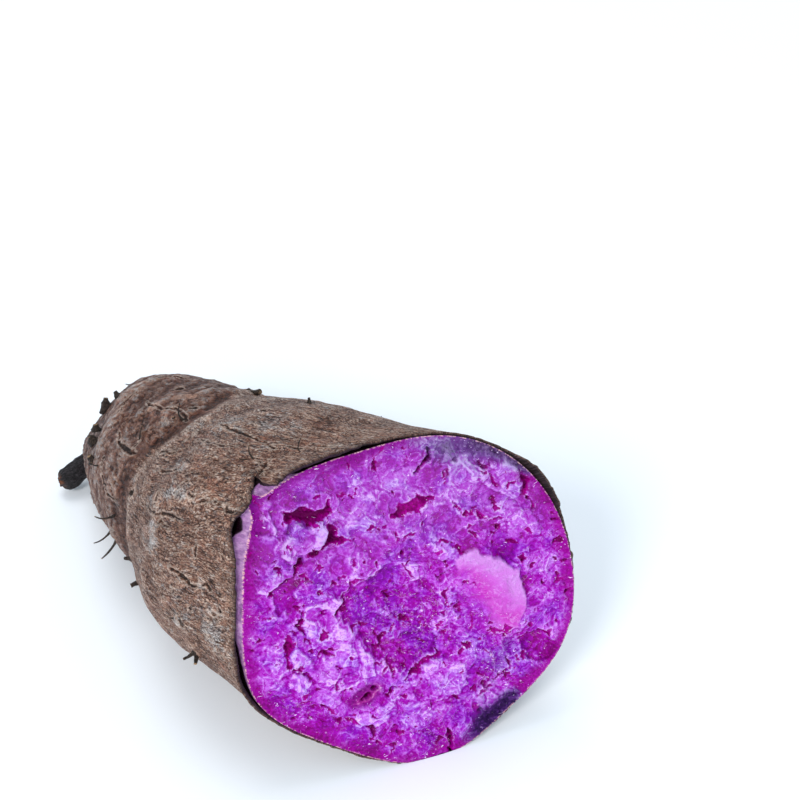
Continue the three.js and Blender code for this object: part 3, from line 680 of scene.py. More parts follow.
def skinHeight(angle, places, y, size, fromEdge):
    # lumps, scars, creases and wrinkles of the skin, the places its grain follows round the scars, and
    # a mask of wrinkles and rings for painted shade
    push = np.zeros_like(angle)
    height, crack = np.zeros_like(angle), np.full_like(angle, -2.0)
    for degrees, markY, radius, rise, pit in skin["scars"]:
        across, away = aroundSkin(angle, y, size, degrees, markY)
        e = np.hypot(across, away) / radius
        push += 0.3 * radius * np.tanh(2 * across / radius) * np.exp(-(e / 2.4) ** 2)
        height += 0.45 * rise * np.exp(-(e / 1.1) ** 2) - 0.7 * pit * np.exp(-(e / 0.36) ** 2)
        crack = np.maximum(crack, radius * (0.4 * pit - 0.02 - e))
    height += skinSpots(angle, y, size, skin["rises"])
    bend = [roughly(places, lump, 2, seed) for lump, seed in ((12.0, 21), (12.0, 22), (9.0, 23))]
    bend = np.stack(bend, -1)
    bar = skin["grainRadius"]
    turned = angle - push / bar + 0.035 * bend[..., 0]
    grain = np.stack([bar * np.cos(turned), bar * np.sin(turned), y + 1.5 * bend[..., 2]], -1)
    shoulderY = fromTable(skin["shoulder"], angle)
    tail = smooth(y - shoulderY, -1, 6)
    wavy = 0.5 * roughly(places, 1.6, 2, 33)
    for width, depth, corners in skin["creases"]:
        middle = corners[len(corners) // 2][0]
        across, _ = aroundSkin(angle, y, size, middle, 0)
        points = [(radians(degrees - middle) * aboutRadius(cornerY), cornerY)
                  for degrees, cornerY in corners]
        near, share = lineDistance(across + wavy, y + wavy, points)
        wide = width * (0.35 + 0.65 * taper(share))
        line = np.clip(1 - near / (0.75 * wide), 0, 1)
        wide = 0.6 * wide
        height += 0.3 * depth * dip(near - 1.6 * wide, wide) - 0.55 * depth * line
        crack = np.maximum(crack, 0.75 * wide - near)
    lumps = 0.5 * roughly(places, 11.0, 2, 24) + 0.16 * roughly(grain * (1, 1, 0.6), 4.0, 2, 25)
    height += lumps * (0.25 + 0.75 * smooth(fromEdge, 1, 14))
    height += skin["shoulderHeight"] * (dip(y - shoulderY, 2.6) - 0.5 * dip(y - shoulderY - 5.5, 3.6))
    patchy = smooth(roughly(places, 7.0, 1, 29), -0.25, 0.4)
    lengthwise = roughly(grain * (1, 1, 0.2), 2.3, 2, 26)
    ringwise = roughly(grain * (0.42, 0.42, 1.0) + 1.2 * bend, 2.4, 2, 28)
    wrinkles = dip(lengthwise, 0.11) * (1 - 0.6 * tail) * (0.3 + 0.7 * patchy)
    rings = dip(ringwise, 0.12) * tail * (0.5 + 0.5 * patchy)
    height -= 0.13 * wrinkles + 0.3 * rings
    height += 0.12 * roughly(grain * (1, 1, 0.3), 1.1, 3, 27)
    # the tail lobe is coarser, in short ridges that run round it
    ridges = roughly(grain * (0.35, 0.35, 1.0) + 0.8 * bend, 1.9, 2, 34)
    knobs = roughly(places, 5.0, 1, 36)
    height += tail * (0.28 * ridges + 0.3 * knobs + 0.1 * np.maximum(roughly(places, 2.2, 2, 35), 0))
    return height, crack, 0.5 * wrinkles + rings, tail, grain


def makeSkin():
    around, alongCells = skin["around"], skin["alongCells"]
    piece = gridPiece("skin", around, alongCells)
    row = np.arange(alongCells + 1)[:, None] * np.ones(around + 1)
    # the seam runs underneath, and the columns crowd together at the deep tear
    crowd, width, closer = skin["crowded"]
    ideal = np.linspace(-90, 270, 7201)
    passed = np.cumsum(1 + closer * dip(ideal - crowd, width))
    spread = np.interp(np.linspace(passed[0], passed[-1], around + 1), passed, ideal)
    own = np.radians(spread) * np.ones(row.shape)
    own[:, -1] = own[:, 0]
    edgeColumns, edgeAngles, edgeBacks = (np.array(part, float) for part in zip(*skin["edge"]))
    turned = (np.interp(spread % 360, edgeColumns, edgeAngles) - spread % 360) * np.ones(row.shape)
    turned[:, -1] = turned[:, 0]
    # rows: 0 the middle inside, 1 to 4 the inner face, 5 and 6 the edge's inner and outer corner
    inner = skin["innerRows"]
    firstOut = len(inner)
    out = np.clip((row - firstOut) / (alongCells - firstOut), 0, 1)
    along = out + 0.06 * np.sin(out * pi) * (0.5 - out)      # closer rows at both ends
    tear = np.interp(np.degrees(own) % 360, edgeColumns, edgeBacks)
    angle = own + np.radians(turned) * np.exp(-along * yamLength / 9.0)
    flat = yamPoint(np.zeros_like(angle), angle)
    ragged = 0.35 * roughly(flat, 3.0, 3, 31) + 0.14 * roughly(flat, 0.8, 2, 32)
    tear = tear + ragged
    along = along + (1 - along) * np.maximum(tear, 0) / yamLength
    plain = yamPoint(along, angle)
    y = plain[..., 1]
    size = np.maximum(curveThrough(yamShape["stations"], along)[..., 3], 0.1)
    fromEdge = np.maximum(y - y[firstOut], 0)
    lift = fromTable(skin["lift"], angle) * np.exp(-fromEdge / 4.0)
    height, crack, dark, tail, grain = skinHeight(angle, plain, y, size, fromEdge)
    height *= 1 - smooth(out, 0.985, 1.0)
    back = np.minimum(tear, 0) * np.exp(-fromEdge / 9.0)
    places = yamPoint(along, angle, -(height + lift), back)
    isInside = np.zeros_like(angle)
    for r, depth in enumerate(inner):
        inset = skin["thickness"] + 0.25 * (depth > 0.5)
        edgeHeight = (height + lift)[firstOut] * exp(-depth / 3.0)
        deeper = along[firstOut] + depth / yamLength
        places[r] = yamPoint(deeper, angle[r], inset - edgeHeight, back[firstOut])
        isInside[r] = 1
    places[0] = places[1].mean(0)
    # hollow, deep and dark carry painted shade and light from the relief, darker in hollows, wrinkles
    # and rings
    keepValues(piece, hollow=standOut(height, 2.5, 0.14, wrap=True),
               deep=standOut(height, 8, 0.45, wrap=True),
               grey=skinSpots(angle, y, size, skin["greyPatches"]),
               peach=skinSpots(angle, y, size, skin["peachPatches"]),
               dark=dark, crack=crack, tail=tail, inside=isInside,
               fromEdge=np.where(isInside > 0, 0, fromEdge))
    keepVector(piece, "grainPlace", grain)
    placeVertices(piece, places)
    closeUp(piece)
    return piece


# what is left of the thin roots
rootlets = {
    "around": 8,
    "rings": 8,
    "footDepth": 0.9,                    # how deep a foot is sunk in the skin
    # degrees round, y, length, radius, lean toward the tail, lean round, bend
    "stumps": [
        (114, 49.6, 1.9, 0.9, 0.2, 0.4, 0.2), (117, 50, 1.6, 0.65, 0.9, -0.5, 0.2),
        (106, 46.3, 0.9, 0.6, 0.5, 0, 0), (139, 43.9, 0.7, 0.7, 0.3, 0, 0),
        (148, 42.2, 1.1, 0.8, 0.4, 0.3, 0.2), (160, 38, 1, 0.7, 0.3, 0, 0),
        (183, 5.3, 1.6, 0.5, 0.6, 0.5, 0.2), (198, 4.4, 1.9, 0.65, 0, 0.3, 0.2),
        (199, -23.4, 2.2, 0.45, -0.5, 0.8, 0.2), (197, -24.2, 3, 0.42, 0.9, 0.8, 0.3),
        (54, 15.6, 3.6, 0.8, -1.9, 0.3, 0.2), (64, -9.5, 1, 0.4, 0.3, 0, 0),
        (20, -12, 2.2, 0.9, 0.5, 0.2, 0.2), (-15, 14, 2.6, 1, 0.5, -0.3, 0.2),
        (20, 33, 2.2, 0.9, 0.6, 0.2, 0.2), (-40, 44, 1.8, 0.9, 0.5, 0, 0),
        (-35, -18, 2, 1, 0.5, -0.3, 0.1), (150, 8.8, 1, 0.7, 0.4, 0, 0),
        (228, 30, 2.2, 0.8, 0.4, 0.3, 0.2), (-5, -34, 1.4, 0.6, 0.4, 0, 0)],
    "hairs": [
        (174, 18.4, 4.2, 0.28, 0.9, 0.5, 0.5), (202, 26.8, 5, 0.3, 0.2, 0.6, 0.5),
        (200, 22.1, 6.2, 0.34, 0.3, 1, 0.3), (103, 12.2, 4.5, 0.26, 1.6, -0.6, 0.8),
        (101, 16, 4, 0.22, -1.2, 1.2, 0.8), (128, 18.4, 3.4, 0.26, 1, -1.8, 0.6),
        (114, -23.4, 3.2, 0.24, 1.2, -0.6, 0.6), (112, -22.2, 3, 0.22, 0.5, 1.4, 0.8),
        (104, -28.8, 2.6, 0.2, 0.8, -0.8, 0.6), (184, -20, 1.8, 0.22, 0.8, 0.2, 0.5),
        (152, 30, 3, 0.24, 1.5, 0.8, 0.8), (88, 46, 3, 0.24, 0.9, 0.4, 0.5),
        (8, 3, 4, 0.26, 0.9, 0.5, 0.7), (-30, 28, 4.4, 0.26, 0.7, -0.8, 0.7),
        (40, -22, 3, 0.24, 1.3, 0.6, 0.8), (235, 6, 3.4, 0.26, 0.8, -0.5, 0.6)],
    "fineness": 1.6,
    "tones": [(0.2, (16, 11, 9)), (0.5, (46, 34, 28)), (0.8, (98, 78, 64))],
    "tipTone": (176, 142, 108),
}


def onSkin(degrees, y):
    # the share of the yam's length where the skin at that angle reaches y
    steps = np.linspace(0, 1, 400)
    line = yamPoint(steps, np.full_like(steps, radians(degrees)))
    return float(np.interp(y, line[:, 1], steps))


def tube(points, radii, around, seed, rough):
    # rings of places along the points, closed at both ends
    points, radii = np.asarray(points, float), np.asarray(radii, float)
    ahead = np.gradient(points, axis=0)
    ahead /= np.linalg.norm(ahead, axis=1)[:, None]
    side = np.cross(ahead, (0.31, 0.17, 0.93))
    side /= np.linalg.norm(side, axis=1)[:, None]
    other = np.cross(ahead, side)
    turn = np.linspace(0, tau, around + 1)
    turn[-1] = 0
    ring = np.cos(turn)[None, :, None] * side[:, None] + np.sin(turn)[None, :, None] * other[:, None]
    places = points[:, None] + radii[:, None, None] * ring
    places += ring * (rough * radii[:, None] * roughly(places, 0.9, 2, seed))[..., None]
    first = np.repeat(points[:1, None], around + 1, 1)
    last = np.repeat(points[-1:, None] - 0.25 * radii[-1] * ahead[-1], around + 1, 1)
    return np.concatenate([first, places, last])


def makeRootlets():
    around, rings, footDepth = rootlets["around"], rootlets["rings"], rootlets["footDepth"]
    pieces = []
    for kind in ("stumps", "hairs"):
        for n, (degrees, y, length, radius, leanBack, leanRound, bend) in enumerate(rootlets[kind]):
            angle, along = radians(degrees), onSkin(degrees, y)
            sunk = -sum(rise * exp(-((degrees - riseAt) * 0.5 / wide) ** 2 - ((y - riseY) / wide) ** 2)
                        for riseAt, riseY, wide, rise in skin["rises"])
            foot = yamPoint(np.array(along), np.array(angle), sunk)
            ahead = yamPoint(np.array(min(along + 0.02, 1.0)), np.array(angle)) - foot
            beside = yamPoint(np.array(along), np.array(angle + 0.05)) - foot
            ahead, beside = ahead / np.linalg.norm(ahead), beside / np.linalg.norm(beside)
            out = np.cross(ahead, beside)
            out *= np.sign(out[0] * cos(angle) + out[2] * sin(angle))
            way = out + leanBack * ahead + leanRound * beside
            way /= np.linalg.norm(way)
            t = np.linspace(0, 1, rings)
            points = foot - footDepth * out + np.outer(t * (length + footDepth), way)
            points += np.outer(bend * length * 0.35 * np.sin(pi * t), beside)
            points -= np.outer(0.15 * bend * length * t ** 2, out)
            if kind == "stumps":
                flare, thinner, rough = 0.9 * dip(t * (length + footDepth), 1.1), 0.3, 0.5
            else:
                flare, thinner, rough = 0.5 * dip(t, 0.2), 0.6, 0.25
            places = tube(points, radius * (1 + flare) * (1 - thinner * t), around, 40 + n, rough)
            piece = gridPiece(kind[:-1], around, rings + 1)
            keepValues(piece, tip=np.concatenate([[0], t, [1]])[:, None] * np.ones(around + 1))
            keepVector(piece, "grainPlace", places)
            placeVertices(piece, places)
            pieces.append(piece)
    bpy.ops.object.select_all(action="DESELECT")
    for piece in pieces:
        piece.select_set(True)
    bpy.context.view_layer.objects.active = pieces[0]
    bpy.ops.object.join()
    pieces[0].name = pieces[0].data.name = "rootlets"
    closeUp(pieces[0])
    return pieces[0]


# the broken stump of the tail root
tailRoot = {
    "around": 64,
    "rings": 60,
    "from": (-1.5, 54.5, 10.9),
    "to": (-16.9, 59.5, 3.2),
    "radii": [3.4, 3.1, 2.8, 2.6, 2.6, 2.7, 2.7, 2.4],
    "sag": 0.9,
    "furrows": 7,
    "fineness": 1.2,
    "tones": [(0.2, (8, 6, 8)), (0.5, (24, 19, 22)), (0.8, (60, 52, 58))],
    "tipTone": (150, 84, 44),
}


def makeTailRoot():
    around, rings = tailRoot["around"], tailRoot["rings"]
    t = np.linspace(0, 1, rings)
    start, end = np.array(tailRoot["from"]), np.array(tailRoot["to"])
    points = start + np.outer(t, end - start)
    points[:, 2] -= tailRoot["sag"] * np.sin(pi * t)
    points[:, 1] += 0.7 * np.sin(5.0 * t)
    radii = curveThrough(np.array(tailRoot["radii"])[:, None], t)[..., 0]
    radii *= np.sqrt(1 - 0.8 * smooth(t, 0.86, 1.0) ** 2)
    places = tube(points, radii, around, 60, 0.0)
    turn = np.linspace(0, tau, around + 1)
    turn[-1] = 0
    middle = np.concatenate([points[:1], points, points[-1:]])[:, None]
    outward = (places - middle) / np.maximum(np.linalg.norm(places - middle, axis=-1), 1e-6)[..., None]
    shares = np.concatenate([[0], t, [1]])[:, None] * np.ones(around + 1)
    furrow = np.cos(tailRoot["furrows"] * turn + 5 * shares + 2 * roughly(places, 6.0, 1, 61))
    height = 0.07 * furrow + 0.5 * roughly(places, 3.4, 3, 62) + 0.08 * roughly(places, 0.8, 2, 63)
    height *= shares > 0
    broken = smooth(shares, 0.955, 0.985)
    places = places + outward * (height * (1 - 0.5 * broken))[..., None]
    ahead = (end - start) / np.linalg.norm(end - start)
    places = places + ahead * (broken * (0.6 * roughly(places, 1.7, 3, 64) - 0.1))[..., None]
    piece = gridPiece("tail_root", around, rings + 1)
    keepValues(piece, tip=shares)
    turn = turn * np.ones_like(shares)
    keepVector(piece, "grainPlace", np.stack([3 * np.cos(turn), 3 * np.sin(turn), 16 * shares], -1))
    placeVertices(piece, places)
    closeUp(piece)
    return piece


def rgb(red, green, blue):
    # a colour as the eye names it, 0 to 255, made linear
    shares = (red / 255, green / 255, blue / 255)
    return tuple(c / 12.92 if c <= 10 / 255 else ((c + 0.055) / 1.055) ** 2.4 for c in shares)


class Shade:
    # nodes of a material or of a group, one short call for each
    def __init__(self, name="", tree=None):
        if tree is None:
            self.material = bpy.data.materials.new(name)
            self.material.use_nodes = True
            tree = self.material.node_tree
            self.shader = tree.nodes["Principled BSDF"]
        self.nodes, self.links = tree.nodes, tree.links

    def add(self, kind, **inputs):
        # a node with these values or links on the inputs of those names
        node = self.nodes.new("ShaderNode" + kind)
        for name, value in inputs.items():
            self.put(node.inputs[name], value)
        return node

    def put(self, socket, value):
        if isinstance(value, bpy.types.NodeSocket):
            self.links.new(value, socket)
        elif hasattr(value, "__len__") and len(value) == 3 and socket.type == "RGBA":
            socket.default_value = (*rgb(*value), 1)
        else:
            socket.default_value = value

    def attribute(self, name, output="Fac"):
        node = self.add("Attribute")
        node.attribute_name = name
        return node.outputs[output]

    def attributes(self, names):
        return (self.attribute(name) for name in names.split())

    def math(self, operation, *values):
        node = self.add("Math")
        node.operation = operation
        for socket, value in zip(node.inputs, values):
            self.put(socket, value)
        return node.outputs[0]

    def plus(self, first, second):
        return self.math("ADD", first, second)

    def minus(self, first, second):
        return self.math("SUBTRACT", first, second)

    def times(self, first, second):
        return self.math("MULTIPLY", first, second)

    def added(self, value, share, base):
        # the base with a share of the value on top
        return self.math("MULTIPLY_ADD", value, share, base)

    def summed(self, base, *parts):
        for value, share in parts:
            base = self.added(value, share, base)
        return base

    def centred(self, base, *parts):
        # the same, counting each value from its middle
        return self.summed(base, *((self.minus(value, 0.5), share) for value, share in parts))

    def between(self, value, low, high, toLow=0.0, toHigh=1.0):
        ends = {"From Min": low, "From Max": high, "To Min": toLow, "To Max": toHigh}
        node = self.add("MapRange", Value=value, **ends)
        node.interpolation_type = "SMOOTHSTEP"
        return node.outputs["Result"]

    def stretch(self, vector, scale, move=(0, 0, 0)):
        return self.add("Mapping", Vector=vector, Scale=scale, Location=move).outputs[0]

    def noise(self, vector, scale, detail=3.0, roughness=0.55, distortion=0.0, output="Fac"):
        node = self.add("TexNoise", Vector=vector, Scale=scale, Detail=detail, Roughness=roughness,
                        Distortion=distortion)
        return node.outputs[output]

    def cells(self, vector, scale):
        return self.add("TexVoronoi", Vector=vector, Scale=scale).outputs

    def ramp(self, value, stops):
        node = self.add("ValToRGB", Fac=value)
        elements = node.color_ramp.elements
        while len(elements) < len(stops):
            elements.new(0.5)
        for element, (place, colour) in zip(elements, stops):
            element.position, element.color = place, (*rgb(*colour), 1)
        return node.outputs[0]

    def mix(self, share, first, second):
        node = self.add("Mix")
        node.data_type, node.clamp_factor = "RGBA", True
        self.put(node.inputs["Factor"], share)
        self.put(node.inputs[6], first)
        self.put(node.inputs[7], second)
        return node.outputs[2]

    def group(self, tree, **values):
        node = self.add("Group")
        node.node_tree = tree
        for name, value in values.items():
            self.put(node.inputs[name], value)
        return node.outputs

    def bump(self, height, strength, distance):
        return self.add("Bump", Height=height, Strength=strength, Distance=distance).outputs[0]

    def finish(self, values):
        # puts values on the shader's own sockets
        for name, value in values.items():
            self.put(self.shader.inputs[name], value)
        return self.material


def makeFleshMaterial():
    m = Shade("steamed flesh")
    place = m.attribute("facePlace", "Vector")
    flatPlace = m.stretch(place, (1, 1, 0.4))
    deep, hollow, crest, sunk, fromRim, bruise = m.attributes("deep hollow crest sunk fromRim bruise")
    lump, core, eye, rough, pale, hole = m.attributes("lump core eye rough pale hole")
    mottled = m.noise(m.stretch(place, (1, 1, 0.4), (31, 7, 0)), 0.21, 4, 0.5, 0.4)
    fine = m.noise(flatPlace, 1.9, 1, 0.7)
    speckle = m.noise(m.stretch(place, (1, 1, 0.5), (2, 51, 8)), 1.0, 3, 0.75)
    # paler plateaus with ragged edges, paler still where it stands high as painted light and deeper in
    # hollows as painted shade, with fine grain
    level = m.plus(mottled, m.added(speckle, 0.1, -0.55))
    level = m.summed(level, (pale, 0.3), (deep, 0.1), (crest, 0.03))
    plateau, high = m.between(level, -0.05, 0.0), m.between(level, 0.09, 0.14)
    # broken layers: each one grows paler up to its ragged edge and drops to the next, painted light on
    # the edges and painted shade below them
    layer = m.math("FRACT", m.times(m.added(speckle, 0.07, mottled), flesh["layers"]))
    layer = m.minus(m.math("POWER", layer, 1.7), 0.37)
    tone = m.summed(m.added(hollow, 0.1, flesh["baseTone"]), (plateau, 0.09), (high, 0.09),
                    (layer, flesh["layerShare"]), (deep, 0.09), (crest, 0.09),
                    (pale, flesh["paleShare"]), (rough, -0.02))
    tone = m.centred(tone, (mottled, 0.5), (fine, m.added(rough, 0.25, 0.6)),
                     (speckle, m.added(rough, 0.25, 0.2)))
    tone = m.math("MINIMUM", m.math("MAXIMUM", tone, 0.0), 1.0)
    tint = m.added(rough, 0.08, m.noise(m.stretch(place, (1, 1, 0.2), (5, 50, 0)), 0.14, 4, 0.6))
    warm, cool = m.ramp(tone, flesh["warm"]), m.ramp(tone, flesh["cool"])
    colour = m.mix(m.between(tint, 0.46, 0.66, 0.0, 0.85), warm, cool)
    up = m.add("SeparateXYZ", Vector=place).outputs["Y"]
    # painted shade: the upper face greyer and darker toward the top
    colour = m.mix(m.between(up, 3.0, 17.0, 0.0, 0.16), colour, flesh["upperShade"])
    # the lump
    lumpShade = m.centred(m.added(core, 0.9, -0.05), (mottled, 1.5))
    lumpTone = m.mix(m.between(speckle, 0.5, 0.7, 0.0, 0.5), m.ramp(lumpShade, flesh["lumpTones"]),
                     flesh["lumpSpecks"])
    blush = m.mix(m.times(core, 0.4), colour, flesh["lumpBlush"])
    colour = m.mix(m.times(lump, 0.85), blush, lumpTone)
    # the rim, painted darker toward the top as shade
    rimBand = m.between(m.added(mottled, 6.0, fromRim), 6.4, 3.6)
    rimShade = m.minus(m.added(pale, 0.35, m.times(mottled, 0.7)), 0.34)
    rimTone = m.ramp(m.summed(rimShade, (fine, 0.8), (speckle, 0.3)), flesh["rimTones"])
    rimTone = m.mix(m.between(up, 10.0, 26.0, 0.0, 0.4), rimTone, flesh["upperRimShade"])
    colour = m.mix(m.times(rimBand, 0.9), colour, rimTone)
    # holes with jagged edges and many small pits, their own magenta painted darker as shade the deeper
    # they sink, and the paler lips of both, a painted highlight
    jagged = m.added(m.noise(flatPlace, 1.3, 4, 0.75), 1.3, m.minus(hole, 0.65))
    pits = m.added(rough, 0.035, m.noise(m.stretch(place, (1, 1, 0.4), (9, 2, 4)), 1.0, 4, 0.7, 0.4))
    curls = m.times(m.between(pits, 0.645, 0.63), m.added(rough, 0.5, 0.5))
    curls = m.times(m.between(pits, 0.6, 0.62), curls)
    pits = m.times(m.between(pits, 0.645, 0.665), m.minus(1.0, m.math("MAXIMUM", lump, eye)))
    torn = m.math("MAXIMUM", m.between(jagged, -0.05, 0.08), m.times(pits, 0.9))
    lipHighlight = m.times(m.between(jagged, -0.42, -0.12), m.between(speckle, 0.42, 0.6))
    lipHighlight = m.math("MAXIMUM", m.times(lipHighlight, m.between(crest, -0.1, 0.4)), curls)
    lipHighlight = m.times(lipHighlight, m.minus(0.9, rimBand))
    colour = m.mix(m.times(lipHighlight, 0.5), colour, flesh["highlitLips"])
    colour = m.mix(torn, colour, m.ramp(m.plus(m.times(sunk, -0.7), fine), flesh["tornTones"]))
    # bruises, with a fainter border
    streaks = m.added(hollow, 0.2, m.noise(flatPlace, 0.9, 4, 0.75))
    isUpper = m.between(up, -5.0, 5.0)
    bruiseTones = []
    for shade, kind in ((streaks, ""), (tone, "Faint")):
        low, top = (m.ramp(shade, flesh[half + "Bruise" + kind]) for half in ("low", "top"))
        bruiseTones.append(m.mix(isUpper, low, top))
    spread = m.plus(bruise, m.added(mottled, 1.0, -0.5))
    spread = m.added(fine, 0.6, m.minus(spread, 0.3))
    colour = m.mix(m.between(spread, 0.15, 0.85, 0.0, 0.9), colour, bruiseTones[1])
    colour = m.mix(m.between(spread, 0.5, 1.2), colour, bruiseTones[0])
    # the round spot
    eyeTone = m.ramp(m.added(pale, 0.6, m.added(fine, 0.5, 0.22)), flesh["eyeTones"])
    colour = m.mix(m.times(m.times(eye, 0.9), m.minus(1.0, torn)), colour, eyeTone)
    # painted wet glints, and pale beads along the rim
    glint = m.noise(m.stretch(place, (1, 1.5, 0.5), (11, 23, 5)), 1.5, 2, 0.6, 0.8)
    wet = m.noise(m.stretch(place, (1, 1, 0.5), (71, 3, 5)), 0.4, 3, 0.7)
    wet = m.added(wet, 0.35, m.added(rough, 0.045, m.times(rimBand, 0.01)))
    glint = m.between(m.plus(glint, wet), 0.88, 0.91)
    colour = m.mix(m.times(glint, 0.9), colour, flesh["glints"])
    beads = m.cells(flatPlace, 0.55)
    chosen = m.add("SeparateColor", Color=beads["Color"])
    size = m.between(chosen.outputs[0], 0.45, 1.0, -0.05, 0.14)
    bead = m.between(m.minus(beads["Distance"], size), 0.0, -0.05)
    bead = m.times(bead, m.math("MAXIMUM", rimBand, 0.25))
    colour = m.mix(m.times(bead, 0.9), colour, flesh["beads"])
    # the side under the skin, pale where it shows and near black where the skin covers it, a painted
    # shade, and the light speckled edge
    sideTone = m.ramp(m.noise(m.stretch(place, (1, 1, 0.8)), 0.8, 5, 0.65), flesh["sideTones"])
    behind = m.added(m.attribute("bare"), -3.0, m.times(fromRim, -1.0))
    sideTone = m.mix(m.between(behind, -0.3, 0.3), sideTone, flesh["underSkinShade"])
    colour = m.mix(m.between(fromRim, 0.02, -0.1), colour, sideTone)
    edge = m.between(m.math("ABSOLUTE", m.plus(fromRim, 0.05)), 0.32, 0.12)
    edge = m.times(edge, m.between(m.noise(flatPlace, 1.7, 3, 0.7), 0.46, 0.58))
    colour = m.mix(m.times(edge, 0.85), colour, flesh["edgeLine"])
    bumps = m.minus(m.added(m.added(rough, 0.6, 0.4), fine, speckle), pits)
    bumps = m.plus(layer, m.added(m.plus(plateau, high), 0.3, bumps))
    return m.finish({
        "Base Color": colour,
        "Roughness": m.between(m.noise(flatPlace, 1.1, 3, 0.6), 0.3, 0.7, 0.28, 0.5),
        "Normal": m.bump(bumps, 0.6, 0.0005),
        "Coat Weight": m.times(m.between(glint, 0.1, 0.9), 0.6), "Coat Roughness": 0.12,
        "Subsurface Weight": 0.3, "Subsurface Radius": (1.0, 0.3, 0.95), "Subsurface Scale": 0.0006,
        "Specular IOR Level": 0.06,
    })


def makeFibreGroup():
    # long wavy fibres with finer threads and specks between them, with painted light and shade on the
    # fibres' sides
    tree = bpy.data.node_groups.new("root fibres", "ShaderNodeTree")
    sockets = tree.interface
    sockets.new_socket("Place", in_out="INPUT", socket_type="NodeSocketVector")
    for name, value in (("Fineness", 1.0), ("Threads", 0.12), ("Specks", 0.12), ("Wrinkles", -0.2)):
        socket = sockets.new_socket(name, in_out="INPUT", socket_type="NodeSocketFloat")
        socket.default_value = value
    for name in ("Tone", "Height"):
        sockets.new_socket(name, in_out="OUTPUT", socket_type="NodeSocketFloat")
    g = Shade(tree=tree)
    given, made = g.nodes.new("NodeGroupInput"), g.nodes.new("NodeGroupOutput")
    scaled = g.add("VectorMath")
    scaled.operation = "SCALE"
    g.put(scaled.inputs[0], given.outputs["Place"])
    g.put(scaled.inputs["Scale"], given.outputs["Fineness"])
    place = scaled.outputs[0]
    # the places are bent a little, so that no fibre runs straight
    bent = g.add("VectorMath")
    bent.operation = "MULTIPLY_ADD"
    bend = g.noise(g.stretch(place, (1, 1, 0.5), (3, 3, 70)), 0.35, 3, 0.6, output="Color")
    for socket, value in zip(bent.inputs, (bend, (1.0, 1.0, 1.0), place)):
        g.put(socket, value)
    place = bent.outputs[0]
    fibres = g.noise(g.stretch(place, (1, 1, 0.4)), 1.7, 2, 0.55, 0.2)
    # a copy shifted a little toward the light, for painted light and shade on the fibres' sides
    lower = g.noise(g.stretch(place, (1, 1, 0.4), (-0.09, 0.12, 0.03)), 1.7, 2, 0.55, 0.2)
    specks = g.between(g.noise(g.stretch(place, (1, 1, 0.8), (4, 30, 19)), 2.3, 1, 0.6), 0.36, 0.64)
    # thin dark lines between small plates, where a stretched noise crosses its middle, and dashes, with
    # a painted highlight beside the lines
    lines, highlitLips = [], []
    for scale, move in ((1.5, (17, 5, 33)), (0.8, (3, 81, 7))):
        crossing = g.minus(g.noise(g.stretch(place, (1, 1, 0.4), move), scale, 2, 0.6), 0.5)
        lines.append(g.between(g.math("ABSOLUTE", crossing), 0.045, 0.0))
        highlitLips.append(g.times(g.between(crossing, 0.035, 0.06), g.between(crossing, 0.12, 0.08)))
    few = g.between(g.noise(g.stretch(place, (1, 1, 0.6), (1, 45, 13)), 0.5, 3, 0.65), 0.42, 0.56)
    dashes = g.between(g.noise(g.stretch(place, (1, 1, 0.25), (7, 50, 3)), 1.2, 3, 0.7), 0.61, 0.65)
    wrinkle = g.math("MAXIMUM", g.times(lines[1], few), dashes)
    wrinkle = g.minus(wrinkle, g.times(highlitLips[1], g.times(few, 0.5)))
    lines[0] = g.added(highlitLips[0], -0.8, lines[0])
    # painted light and shade from the shifted copy, with the fibres' own tone
    tone = g.centred(g.times(g.minus(fibres, lower), 0.7), (fibres, 0.15))
    tone = g.added(g.minus(0.1, lines[0]), given.outputs["Threads"], tone)
    tone = g.centred(tone, (specks, given.outputs["Specks"]))
    g.put(made.inputs["Tone"], g.added(wrinkle, given.outputs["Wrinkles"], tone))
    g.put(made.inputs["Height"], g.summed(fibres, (wrinkle, -0.3), (lines[0], -0.2), (specks, 0.1)))
    return tree


